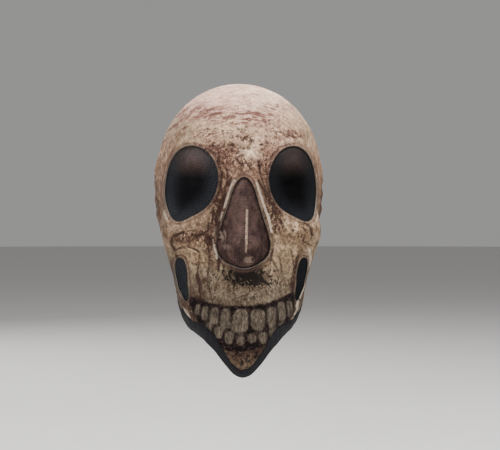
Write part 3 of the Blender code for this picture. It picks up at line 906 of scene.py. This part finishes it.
class Shader:
    """A fabric material whose nodes are linked by value."""

    def __init__(self, name, roughness=0.9, sheen=0.0, specular=0.1):
        self.material = bpy.data.materials.new(name)
        self.material.use_nodes = True
        self.tree = self.material.node_tree
        self.surface = self.tree.nodes["Principled BSDF"]
        self.surface.inputs["Roughness"].default_value = roughness
        self.surface.inputs["Sheen Weight"].default_value = sheen
        self.surface.inputs["Sheen Roughness"].default_value = 0.5
        self.surface.inputs["Specular IOR Level"].default_value = specular
        self.place = self.add("ShaderNodeTexCoord").outputs["Object"]

    def add(self, kind, inputs=None, **settings):
        node = self.tree.nodes.new(kind)
        for key, value in settings.items():
            setattr(node, key, value)
        for key, value in (inputs or {}).items():
            self.put(value, node.inputs[key])
        return node

    def put(self, value, socket):
        if isinstance(value, bpy.types.NodeSocket):
            self.tree.links.new(value, socket)
        elif socket.type == "RGBA":
            socket.default_value = (*value, 1)
        else:
            socket.default_value = value

    def value(self, name):
        return self.add("ShaderNodeAttribute", attribute_name=name).outputs["Fac"]

    def vector(self, name):
        return self.add("ShaderNodeAttribute", attribute_name=name).outputs["Vector"]

    def colour(self, name):
        return self.add("ShaderNodeAttribute", attribute_name=name).outputs["Color"]

    def math(self, operation, a, b=0.0):
        return self.add("ShaderNodeMath", {0: a, 1: b}, operation=operation).outputs[0]

    def times(self, a, b):
        return self.math("MULTIPLY", a, b)

    def plus(self, a, b):
        return self.math("ADD", a, b)

    def noise(self, size, vector=None, detail=3.0, roughness=0.6, distortion=0.0):
        """Noise whose features are about size metres across."""
        inputs = {
            "Vector": vector or self.place, "Scale": 1 / size, "Detail": detail,
            "Roughness": roughness, "Distortion": distortion,
        }  # fmt: skip
        return self.add("ShaderNodeTexNoise", inputs).outputs["Fac"]

    def swing(self, size):
        """Noise about zero, for ragged edges."""
        return self.math("SUBTRACT", self.noise(size, detail=4, roughness=0.7), 0.5)

    def ragged(self, name, size, amount):
        """A mesh's values with noise added, so that edges drawn from them are ragged."""
        return self.plus(self.value(name), self.times(self.swing(size), amount))

    def cells(self, size, vector, feature="F1", randomness=1.0):
        inputs = {"Vector": vector, "Scale": 1 / size, "Randomness": randomness}
        return self.add("ShaderNodeTexVoronoi", inputs, feature=feature)

    def wobbled(self, vector, size, amount):
        """The vector, pushed about so that straight lines in it become ragged."""
        inputs = {"Vector": self.place, "Scale": 1 / size, "Detail": 3.0}
        push = self.add("ShaderNodeTexNoise", inputs).outputs["Color"]
        push = self.vectors("SUBTRACT", {0: push, 1: (0.5, 0.5, 0.5)})
        return self.vectors("ADD", {0: vector, 1: self.shaded(push, amount)})

    def between(self, value, low, high, start=0.0, end=1.0):
        """value from low to high, eased to start to end and kept there beyond."""
        inputs = {"Value": value, "From Min": low, "From Max": high, "To Min": start, "To Max": end}
        node = self.add("ShaderNodeMapRange", inputs, interpolation_type="SMOOTHSTEP")
        return node.outputs["Result"]

    def mix(self, factor, a, b):
        node = self.add("ShaderNodeMix", data_type="RGBA")
        self.put(factor, node.inputs["Factor"])
        self.put(a, node.inputs["A"])
        self.put(b, node.inputs["B"])
        return node.outputs["Result"]

    def vectors(self, operation, inputs):
        return self.add("ShaderNodeVectorMath", inputs, operation=operation).outputs[0]

    def tinted(self, colour, tint):
        return self.vectors("MULTIPLY", {0: colour, 1: tint})

    def shaded(self, colour, factor):
        return self.vectors("SCALE", {0: colour, "Scale": factor})

    def knit(self, pitch):
        """Height of the knit's columns of loops, from 0 to 1."""
        place = self.add("ShaderNodeSeparateXYZ", {"Vector": self.vector("weave")}).outputs
        column = self.wave(place["X"], 2 * math.pi / pitch)
        row = self.wave(place["Y"], 2 * math.pi / (pitch * 1.25))
        return self.times(self.plus(column, self.times(row, 0.8)), 0.55)

    def wave(self, value, rate):
        """Rounded ridges, from 0 to 1."""
        return self.math("ABSOLUTE", self.math("SINE", self.times(value, rate)))

    def bump(self, height, distance, strength):
        node = self.add("ShaderNodeBump", {"Height": height, "Distance": distance, "Strength": strength})
        self.put(node.outputs["Normal"], self.surface.inputs["Normal"])

    def finish(self, colour):
        self.put(colour, self.surface.inputs["Base Color"])
        return self.material


def bone_base(s):
    """Aged bone: the print's soft colours, with their painted light and shade, broken up by stains, a fine
    grain and streaks.
    """
    wash = s.colour("wash")
    stains = s.between(s.noise(11 * MM, detail=6, roughness=0.7), 0.36, 0.64)
    colour = s.mix(stains, s.tinted(wash, (0.70, 0.61, 0.55)), s.tinted(wash, (1.17, 1.12, 1.05)))
    mottle = s.between(s.noise(4.5 * MM, detail=5, roughness=0.7, distortion=0.5), 0.34, 0.66, 0.52, 1.36)
    grain = s.between(s.noise(1.6 * MM, detail=3, roughness=0.75), 0.3, 0.7, 0.72, 1.24)
    colour = s.shaded(s.shaded(colour, mottle), grain)
    colour = s.mix(s.value("mottled"), wash, colour)
    streaks = ridges(s, s.wobbled(s.vector("upright"), 6 * MM, 2 * MM), 3.8 * MM, 0.045)
    broken = s.between(s.noise(7 * MM), 0.42, 0.6)
    return over(s, colour, s.times(streaks, broken), s.tinted(wash, (0.30, 0.21, 0.18)), 0.7)


def ridges(s, vector, size, width, detail=3.0, distortion=0.4):
    """Thin wandering lines, 1 on a line and 0 away from it."""
    wander = s.noise(size, vector, detail=detail, roughness=0.6, distortion=distortion)
    off = s.math("ABSOLUTE", s.math("SUBTRACT", wander, 0.5))
    return s.between(off, width * 0.35, width, 1, 0)


def over(s, colour, mark, paint, strength):
    """A mark painted over a colour."""
    return s.mix(s.times(mark, strength), colour, paint)


def dabs(s, thickness, start, vector=None):
    """Scattered dabs of paint, more of them and larger where they lie thickly."""
    field = s.noise(DAB_SIZE, vector, detail=4, roughness=0.68, distortion=0.5)
    field = s.plus(field, s.times(thickness, 0.13))
    return s.between(field, start, start + 0.055)


def printed_bone(name, teeth):
    """The print: bone with strokes and pits, and on the face panel cracks, teeth and the hollows' edges."""
    s = Shader(name)
    colour = bone_base(s)
    strokes, network, speckle = s.value("strokes"), s.value("network"), s.value("speckle")

    rust = s.between(s.noise(9 * MM, s.vector("arcs"), detail=6, roughness=0.72), 0.42, 0.66)
    colour = over(s, colour, rust, (0.30, 0.13, 0.085), s.between(strokes, 0.2, 1.5, 0, 0.26))
    arcs = s.wobbled(s.vector("arcs"), 6 * MM, 3 * MM)
    hairlines = ridges(s, arcs, 5.5 * MM, 0.05, 2.0)
    colour = over(s, colour, hairlines, (0.14, 0.055, 0.04), s.between(strokes, 0.15, 1.2, 0, 0.8))
    colour = over(s, colour, dabs(s, strokes, 0.67, arcs), (0.10, 0.042, 0.034), 0.8)

    tangle = s.cells(8.5 * MM, s.wobbled(s.place, 5 * MM, 11 * MM), "DISTANCE_TO_EDGE").outputs["Distance"]
    tangle = s.between(tangle, 0.05, 0.15, 1, 0)
    colour = over(s, colour, tangle, (0.05, 0.02, 0.017), s.between(network, 0.4, 1.1, 0, 0.8))
    squiggles = ridges(s, s.place, 6.5 * MM, 0.05, 2.0, 1.2)
    colour = over(s, colour, squiggles, (0.045, 0.02, 0.016), s.between(network, 0.1, 1.0, 0.08, 0.9))
    dashes = s.wobbled(s.vector("upright"), 4 * MM, 2 * MM)
    colour = over(s, colour, dabs(s, network, 0.69, dashes), (0.02, 0.011, 0.010), 0.92)

    for spacing, share, strength in ((4.2 * MM, 0.46, 0.75), (8 * MM, 0.30, 0.9)):
        pits = s.cells(spacing, s.wobbled(s.place, spacing / 2, spacing / 2)).outputs
        size = s.add("ShaderNodeSeparateXYZ", {"Vector": pits["Color"]}).outputs["X"]
        off = s.math("SUBTRACT", pits["Distance"], s.times(size, share))
        dots = s.between(off, -0.04, 0.04, 1, 0)
        colour = over(s, colour, dots, (0.04, 0.022, 0.017), s.between(speckle, 0, 1.0, 0.1, strength))
    colour = over(s, colour, dabs(s, speckle, 0.70), (0.010, 0.008, 0.007), 0.96)

    if teeth:
        colour = hollows_and_teeth(s, colour)
    side = s.ragged("side", 5 * MM, 1.8)
    colour = over(s, colour, s.between(side, 0.5, 1.1), (0.05, 0.03, 0.024), 0.7)
    suture = s.ragged("suture_away", 5 * MM, 14)
    suture = s.between(s.math("ABSOLUTE", suture), 0.4, 1.5, 1, 0)
    colour = over(s, colour, suture, (0.05, 0.03, 0.022), 0.8)
    colour = s.shaded(colour, s.between(s.value("seam_away"), 0.4, 2.4, 0.6, 1.0))
    edge = s.ragged("band_away", 4 * MM, 3.5)
    colour = over(s, colour, s.between(edge, 0.2, 1.3, 1, 0), BONE["soot"], 0.9)
    colour = s.mix(s.times(s.value("inner"), 0.85), colour, (0.42, 0.37, 0.32))
    knit = s.knit(KNIT_PITCH)
    s.bump(knit, KNIT_HEIGHT, 0.6)
    # painted shade: the colour darker down in the knit's grooves than on its loops
    return s.finish(s.shaded(colour, s.between(knit, 0.1, 0.8, 0.86, 1.06)))


def hollows_and_teeth(s, colour):
    """Broken pale rims and dark lines round the hollows, cracks, the dark mouth and the teeth."""
    swing, broken = s.swing(2.6 * MM), s.between(s.noise(5.5 * MM, detail=3), 0.36, 0.46)
    for name, rim, dark in (("eye_away", 0.2, 0.6), ("nose_away", 0.08, 0.9), ("cheek_away", 0.2, 0.85)):
        away = s.value(name)
        ragged = s.plus(away, s.times(swing, 2.6))
        line = s.times(s.between(ragged, 1.0, 1.8), s.between(ragged, 1.9, 4.4, 1, 0))
        colour = over(s, colour, line, (0.075, 0.042, 0.034), dark)
        pale = s.times(s.between(ragged, 0.7, 1.0, 1, 0), broken)
        colour = over(s, colour, pale, (0.46, 0.38, 0.30), rim)
        edge = s.between(s.plus(away, swing), 0.3, 1.2, 1, 0)
        colour = over(s, colour, edge, (0.05, 0.034, 0.028), 0.75)
    light = s.between(s.plus(s.value("light_away"), s.times(swing, 2.0)), -0.4, 0.8, 1, 0)
    paint = s.mix(broken, (0.30, 0.22, 0.16), (0.56, 0.46, 0.36))
    colour = over(s, colour, s.times(light, broken), paint, 0.8)
    crack = s.between(s.plus(s.value("crack_away"), s.times(swing, 2.4)), -0.4, 0.9, 1, 0)
    colour = over(s, colour, s.times(crack, broken), (0.035, 0.018, 0.015), 0.88)

    flesh = s.between(s.noise(2.6 * MM, detail=5, roughness=0.75), 0.50, 0.66)
    flesh = s.mix(flesh, (0.006, 0.004, 0.004), (0.06, 0.032, 0.031))
    colour = s.mix(s.between(s.ragged("mouth_away", 3.2 * MM, 4.0), -1.2, 1.4, 1, 0), colour, flesh)
    tooth = s.plus(s.value("tooth_away"), s.times(swing, 1.1))
    worn = s.between(s.noise(4 * MM, s.vector("upright"), detail=5, roughness=0.75), 0.3, 0.7)
    enamel = s.mix(worn, (0.05, 0.039, 0.029), (0.19, 0.152, 0.114))
    enamel = over(s, enamel, ridges(s, s.vector("upright"), 2.6 * MM, 0.05), (0.03, 0.02, 0.016), 0.7)
    enamel = over(s, enamel, s.between(tooth, -1.3, -0.1), (0.018, 0.012, 0.010), 0.85)
    return s.mix(s.between(tooth, -0.3, 0.6, 1, 0), colour, enamel)


def net_cloth(name, openness):
    """See-through net: fine threads round small holes."""
    s = Shader(name, specular=0.03)
    cells = s.cells(NET_PITCH, s.vector("weave"), "DISTANCE_TO_EDGE", 0.15).outputs["Distance"]
    yarn = s.between(cells, 0.10, 0.24, 1, 0)
    cover = s.plus(yarn, s.times(s.noise(16 * MM, detail=3), 0.2))
    s.put(s.between(cover, 0.1, 1.0, 1 - openness, 1.0), s.surface.inputs["Alpha"])
    s.bump(yarn, 0.08 * MM, 0.4)
    return s, yarn


def eye_net():
    """Dark net, bluer at its rim; its near-black middle and lighter, browner top of a socket are painted
    shade and light, as of a lit brow over a dark socket.
    """
    s, yarn = net_cloth("eye_net", 0.14)
    # painted light: lighter and browner towards the top of the socket, near black below
    high = s.ragged("high", 9 * MM, 0.08)
    tone = s.mix(s.between(high, 0.55, 0.86), (0.007, 0.007, 0.008), (0.095, 0.066, 0.058))
    tone = s.mix(s.between(s.value("rim"), 2, 17, 0.85, 0), tone, (0.026, 0.028, 0.033))
    tone = s.mix(s.between(high, 0.72, 0.98, 0, 0.6), tone, (0.070, 0.050, 0.043))
    tone = s.shaded(tone, s.between(s.noise(6 * MM, detail=5, roughness=0.7), 0.35, 0.7, 0.88, 1.12))
    tone = s.shaded(tone, s.value("lit"))
    # painted shade: the holes between the yarns darker than the yarn
    return s.finish(s.mix(yarn, s.shaded(tone, 0.8), tone))


def nose_net():
    """Mauve-brown net with the print's pale middle line and torn edges."""
    s, yarn = net_cloth("nose_net", 0.10)
    cloudy = s.between(s.noise(13 * MM, detail=4), 0.35, 0.68)
    tone = s.mix(cloudy, (0.046, 0.028, 0.026), (0.115, 0.07, 0.06))
    tone = s.shaded(tone, s.between(s.noise(2.5 * MM, detail=5, roughness=0.75), 0.32, 0.7, 0.72, 1.28))
    tone = s.shaded(tone, s.value("lit"))
    line = s.between(s.ragged("vomer_away", 5 * MM, 1.6), 0.1, 1.7, 1, 0)
    tone = over(s, tone, line, (0.46, 0.34, 0.25), 0.85)
    ragged = s.ragged("rim", 3.5 * MM, 5)
    tone = over(s, tone, s.between(ragged, 0.5, 4, 1, 0), (0.016, 0.011, 0.010), 0.75)
    torn = s.times(s.between(s.value("shreds"), 0.5, 1.0), s.between(s.noise(3 * MM, detail=4), 0.42, 0.55))
    tone = over(s, tone, torn, (0.26, 0.185, 0.145), 0.8)
    # painted shade: the holes between the yarns darker than the yarn
    return s.finish(s.mix(yarn, s.shaded(tone, 0.8), tone))


def band_cloth():
    """Black stretch knit with ribs up and down and a little lint."""
    s = Shader("black_band", roughness=0.85, sheen=0.03, specular=0.08)
    knit = s.knit(BAND_KNIT_PITCH)
    lint = s.between(s.noise(0.9 * MM, detail=2), 0.62, 0.72)
    # painted shade: darker down between the knit's loops, lighter on their tops
    colour = s.mix(knit, (0.006, 0.006, 0.008), (0.022, 0.021, 0.025))
    colour = over(s, colour, lint, (0.06, 0.057, 0.053), 0.2)
    s.bump(knit, 0.2 * MM, 0.8)
    return s.finish(colour)


def sewing_thread(name, dark, light):
    """Plied polyester thread: fine twist, a soft gloss."""
    s = Shader(name, roughness=0.5, sheen=0.05)
    twist = s.noise(0.5 * MM, detail=2, distortion=1.5)
    s.bump(twist, 0.08 * MM, 0.7)
    return s.finish(s.mix(s.between(twist, 0.3, 0.7), dark, light))


def elastic_tape():
    """Woven elastic: ribs across with painted shade between them, and a little wear."""
    s = Shader("elastic", roughness=0.7)
    place = s.add("ShaderNodeSeparateXYZ", {"Vector": s.place}).outputs
    ribs = s.wave(s.plus(place["X"], place["Y"]), 2600)
    s.bump(ribs, 0.2 * MM, 0.8)
    wear = s.noise(4 * MM, detail=3)
    # painted shade darker between the ribs; wear lightens some rib tops
    return s.finish(s.mix(s.times(wear, ribs), (0.48, 0.46, 0.43), (0.74, 0.72, 0.68)))


def label_tape():
    """A blank woven tape with painted shade: blotches of shade as from slight creases, and shade between its
    threads.
    """
    s = Shader("label", roughness=0.45, sheen=0.1)
    place = s.add("ShaderNodeSeparateXYZ", {"Vector": s.place}).outputs
    weave = s.times(s.wave(place["X"], 7000), s.wave(place["Z"], 9000))
    s.bump(weave, 0.05 * MM, 0.6)
    # painted shade: blotches darker as if in slight creases
    crease_shade = s.between(s.noise(8 * MM, detail=4), 0.3, 0.7, 0.86, 1.0)
    # painted shade: darker between the threads than on them
    return s.finish(s.shaded(s.mix(weave, (0.66, 0.65, 0.62), (0.82, 0.81, 0.78)), crease_shade))


def seat(obj, node):
    """The piece stands for its CAD node and rides on the one body."""
    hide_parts(node)
    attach(obj, "root")


def outline_of(projection, loop, inset):
    """A loop on the form as a flat outline pulled in by inset metres."""
    flat = counter_clockwise(projection.flatten(loop))
    return offset_loop(flat, inset / np.linalg.norm(on_form(projection.directions(flat)), axis=1))


def face_outline():
    crown = crown_seam(FACE_SPACING)
    azimuth, _ = angles_of(crown[[0, -1]])
    jaw = evenly(band_seam(azimuth.min(), azimuth.max()), FACE_SPACING)
    if azimuth[1] > azimuth[0]:
        jaw = jaw[::-1]
    return outline_of(FRONT, np.concatenate([crown, jaw]), SEAM_GAP / 2)


def back_outline(side):
    crown = crown_seam(BACK_SPACING)
    half = crown[crown[:, 0] * side > 0.8 * BACK_SPACING]
    if side < 0:
        half = half[::-1]
    azimuth = abs(float(angles_of(half[-1:])[0][0]))
    band = evenly(band_seam(azimuth, 180), BACK_SPACING) * [side, 1, 1]
    return outline_of(BACK, np.concatenate([back_middle(BACK_SPACING)[::-1], half, band]), SEAM_GAP / 2)


def window_loops(spacing):
    """The face panel's openings as loops on the head form, by the end of their nodes' names."""
    drawn = {"nose": nose_loop()}
    for side, sign in (("left", 1), ("right", -1)):
        drawn[f"eye_{side}"] = [(sign * u, w) for u, w in EYE_OUTLINE]
        drawn[f"cheek_{side}"] = [(sign * u, w) for u, w in CHEEK_OUTLINE]
    return {name: seen_from_front(smooth_loop(points, spacing)) for name, points in drawn.items()}


def add_windows():
    """The nets and the stitching that holds them; gives back the thread's material."""
    nets = {"eye": eye_net(), "nose": nose_net()}
    nets["cheek"] = nets["eye"]
    thread_material = sewing_thread("bone_thread", (0.26, 0.21, 0.16), (0.52, 0.44, 0.35))
    shapes = {"eye": EYE_OUTLINE, "nose": nose_loop(), "cheek": CHEEK_OUTLINE}
    for name, loop in window_loops(NET_SPACING / MM).items():
        kind, _, side = name.partition("_")
        suffix = f"_{side}" if side else ""
        outline = outline_of(FRONT, evenly_round(loop, 4 * MM), -NET_LAP)
        cloth_name = f"{kind}_net_cloth{suffix}"
        net = add_panel(cloth_name, FRONT, outline, (), NET_SPACING, NET_DEPTH, NET_THICK, nets[kind])
        places = print_place(corners_of(net))
        shape = mirrored(shapes[kind]) if side == "right" else shapes[kind]
        set_values(net.data, "rim", -loop_distance(places, shape))
        set_values(net.data, "lit", np.interp(places[:, 0], (-15, 25), (1.05, 0.55)))
        low, high = places[:, 1].min(), places[:, 1].max()
        # height within each eye net, for the painted light at the top of its socket
        set_values(net.data, "high", np.where(kind == "eye", (places[:, 1] - low) / (high - low), 0.2))
        set_values(net.data, "vomer_away", segment_distance(places, (2.5, -14), (1.0, -54))[0])
        set_values(net.data, "shreds", marks(places, SHREDS))
        seat(net, f"{kind}_net{suffix}")
        ring = on_form(FRONT.directions(outline_of(FRONT, loop, -NET_LAP / 2)))
        stitches = zigzag(evenly_round(ring, STITCH_PITCH), STITCH_WIDTH, STITCH_DEPTH, True)
        stitches = add_mesh(f"{kind}_stitches{suffix}", *stitches, thread_material)
        seat(stitches, f"{kind}_stitching{suffix}")
    return thread_material


def hem_rows(rises):
    """Closed rows of points round the lower edge, each this far above it along the cloth."""
    low = on_form(direction(TURN, hem_elevation(TURN)))
    radius = np.linalg.norm(low, axis=1)
    return [on_form(direction(TURN, hem_elevation(TURN) + np.degrees(rise / radius))) for rise in rises]


def add_band(black_thread):
    band = band_cloth()
    seam = on_form(direction(TURN, band_elevation(TURN)))
    gap = np.degrees(SEAM_GAP / 2) / np.linalg.norm(seam, axis=1)
    rise = band_elevation(TURN) - hem_elevation(TURN) - gap
    rows = [on_form(direction(TURN, hem_elevation(TURN) + rise * k / 14)) for k in range(14, -1, -1)]
    outer = add_mesh("neck_band_cloth", *strip(rows, 0, PANEL_THICK, True), band)
    set_band_weave(outer)
    seat(outer, "neck_band")
    heights = np.linspace(HEM_HEIGHT + HEM_EDGE, HEM_EDGE, 7)
    turned = add_mesh("turned_hem_cloth", *strip(hem_rows(heights), TURNED_DEPTH, PANEL_THICK, True), band)
    set_band_weave(turned)
    seat(turned, "turned_hem")
    heights = np.linspace(ELASTIC_EDGE + ELASTIC_WIDTH, ELASTIC_EDGE, 5)
    tape = strip(hem_rows(heights), ELASTIC_DEPTH, ELASTIC_THICK, True)
    elastic = add_mesh("hem_elastic_tape", *tape, elastic_tape())
    seat(elastic, "hem_elastic")
    add_coverstitch(black_thread)


def set_band_weave(obj):
    """Ribs that run up the band and rows that run round it."""
    azimuth, elevation = angles_of(corners_of(obj))
    along = np.radians(azimuth) * NECK_RADIUS
    up = np.radians(elevation) * NECK_DROP
    set_values(obj.data, "weave", np.stack([along, up, np.zeros_like(up)], axis=1))


def add_coverstitch(material):
    """Two rows of stitches outside the hem and a zigzag of looper thread inside."""
    parts = []
    for drop in HEM_STITCH_DROPS:
        row = evenly_round(hem_rows([HEM_HEIGHT - drop])[0], HEM_STITCH_LENGTH / 4)
        for i in range(0, len(row) - 4, 4):
            dash = row[i : i + 4]
            parts.append(thread(cloth(dash, -0.5 * THREAD_RADIUS), False, sides=4))
    inside = evenly_round(hem_rows([HEM_HEIGHT - 1.2 * MM])[0], 1.6 * MM)
    parts.append(zigzag(inside, 2.4 * MM, TURNED_DEPTH + PANEL_THICK + 0.3 * MM, True))
    seat(add_mesh("hem_coverstitches", *merged(parts), material), "hem_coverstitch")


def add_overlock(seam, line, width, closed, cloth_material, thread_material):
    """A seam's allowance on the inside, bound by looped thread."""
    rows = [beside(line, offset, closed) for offset in (width / 2, 0, -width / 2)]
    points, faces = strip(rows, OVERLOCK_DEPTH, ALLOWANCE_THICK, closed)
    inside = OVERLOCK_DEPTH + ALLOWANCE_THICK
    needle = cloth(beside(line, width * 0.28, closed), inside + 0.5 * MM)
    loops = [zigzag(line, width * 0.98, inside + 0.2 * MM, closed), thread(needle, closed)]
    obj = add_mesh(f"{seam}_binding", *merged([(points, faces), *loops]), cloth_material)
    obj.data.materials.append(thread_material)
    for polygon in obj.data.polygons[len(faces) :]:
        polygon.material_index = 1
    set_weave(obj.data, BACK, corners_of(obj))
    seat(obj, f"{seam}_overlock")


def add_overlocks(bone_thread, black_thread):
    """The three bound seams; the open ones stop short of the seams that they meet."""
    plain = allowance_cloth()
    threads = {"bone_thread": bone_thread, "black_thread": black_thread}
    band = evenly_round(on_form(direction(TURN, band_elevation(TURN))), BINDING_STEP)
    seams = (
        ("crown_seam", "bone_thread", crown_seam(BINDING_STEP)[5:-5], OVERLOCK_WIDTH, False),
        ("centre_back", "bone_thread", back_middle(BINDING_STEP)[4:-4], OVERLOCK_WIDTH, False),
        ("band_seam", "black_thread", band, OVERLOCK_WIDTH * 0.6, True),
    )
    for seam, slot, line, width, closed in seams:
        add_overlock(seam, line, width, closed, plain, threads[slot])


def allowance_cloth():
    """The panels' unprinted wrong side, at the seams."""
    s = Shader("seam_allowance")
    knit = s.knit(KNIT_PITCH)
    s.bump(knit, KNIT_HEIGHT, 0.6)
    return s.finish(s.mix(s.noise(5 * MM), (0.36, 0.31, 0.26), (0.5, 0.45, 0.39)))


def add_label():
    """A blank care label that hangs inside the centre back."""
    width, length = LABEL_SIZE
    top = math.radians(180 - float(band_elevation(180)) - LABEL_ABOVE_BAND)
    turn = np.linspace(top, top + length / LABEL_RADIUS, 20)
    rows = []
    for x in np.linspace(-width / 2, width / 2, 13):
        curl = 1 + 0.004 * math.cos(x / width * 2 * math.pi)
        rays = np.stack([np.full_like(turn, x / LABEL_RADIUS * curl), -np.cos(turn), np.sin(turn)], axis=1)
        rows.append(on_form(rays))
    points, faces = strip(rows, OVERLOCK_DEPTH + 1.9 * MM, 0.3 * MM, False)
    seat(add_mesh("care_label_tape", points, faces, label_tape()), "care_label")


def add_panels():
    face_print, back_print = printed_bone("printed_face", True), printed_bone("printed_back", False)
    holes = [outline_of(FRONT, loop, 0) for loop in window_loops(FACE_SPACING / MM).values()]
    face = add_panel(
        "face_panel_cloth", FRONT, face_outline(), holes, FACE_SPACING, 0, PANEL_THICK, face_print, True
    )
    seat(face, "face_panel")
    for side, sign in (("left", 1), ("right", -1)):
        outline = back_outline(sign)
        panel = add_panel(
            f"back_panel_cloth_{side}", BACK, outline, (), BACK_SPACING, 0, PANEL_THICK, back_print, True
        )
        seat(panel, f"back_panel_{side}")


def add_camera():
    turn = math.radians(CAMERA_AZIMUTH)
    right, up = CAMERA_TARGET
    target = Vector((math.cos(turn) * right, math.sin(turn) * right, up))
    back = Vector((math.sin(turn), -math.cos(turn), 0))
    camera = bpy.data.objects.new("camera", bpy.data.cameras.new("camera"))
    camera.data.sensor_width = 36
    camera.data.lens = 36 * CAMERA_DISTANCE / FRAME_WIDTH
    aim = (-back).to_track_quat("-Z", "Y").to_matrix().to_4x4()
    camera.matrix_world = Matrix.Translation(target + back * CAMERA_DISTANCE) @ aim
    bpy.context.scene.collection.objects.link(camera)
    bpy.context.scene.camera = camera


def add_light(name, place, size, watts):
    light = bpy.data.lights.new(name, "AREA")
    light.shape = "DISK"
    light.size = size
    light.energy = watts
    obj = bpy.data.objects.new(name, light)
    obj.location = place
    obj.rotation_euler = (-Vector(place)).to_track_quat("-Z", "Y").to_euler()
    bpy.context.scene.collection.objects.link(obj)


def add_stage():
    """A pale floor under a soft, mostly overhead light."""
    s = Shader("floor")
    s.finish(s.mix(s.noise(0.05, detail=4), (0.66, 0.65, 0.63), (0.70, 0.69, 0.67)))
    place = (0, 0, FLOOR_Z)
    bpy.ops.mesh.primitive_circle_add(vertices=96, radius=FLOOR_RADIUS, fill_type="NGON", location=place)
    floor = bpy.context.object
    floor.name = "floor"
    floor.data.materials.append(s.material)
    world = bpy.context.scene.world or bpy.data.worlds.new("world")
    bpy.context.scene.world = world
    world.use_nodes = True
    sky = world.node_tree.nodes["Background"].inputs
    sky["Color"].default_value = SKY_COLOUR
    sky["Strength"].default_value = SKY_STRENGTH
    for light in LIGHTS:
        add_light(*light)


def main():
    add_camera()
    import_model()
    add_stage()
    add_panels()
    bone_thread = add_windows()
    black_thread = sewing_thread("black_thread", (0.006, 0.006, 0.007), (0.04, 0.04, 0.044))
    add_band(black_thread)
    add_overlocks(bone_thread, black_thread)
    add_label()


main()
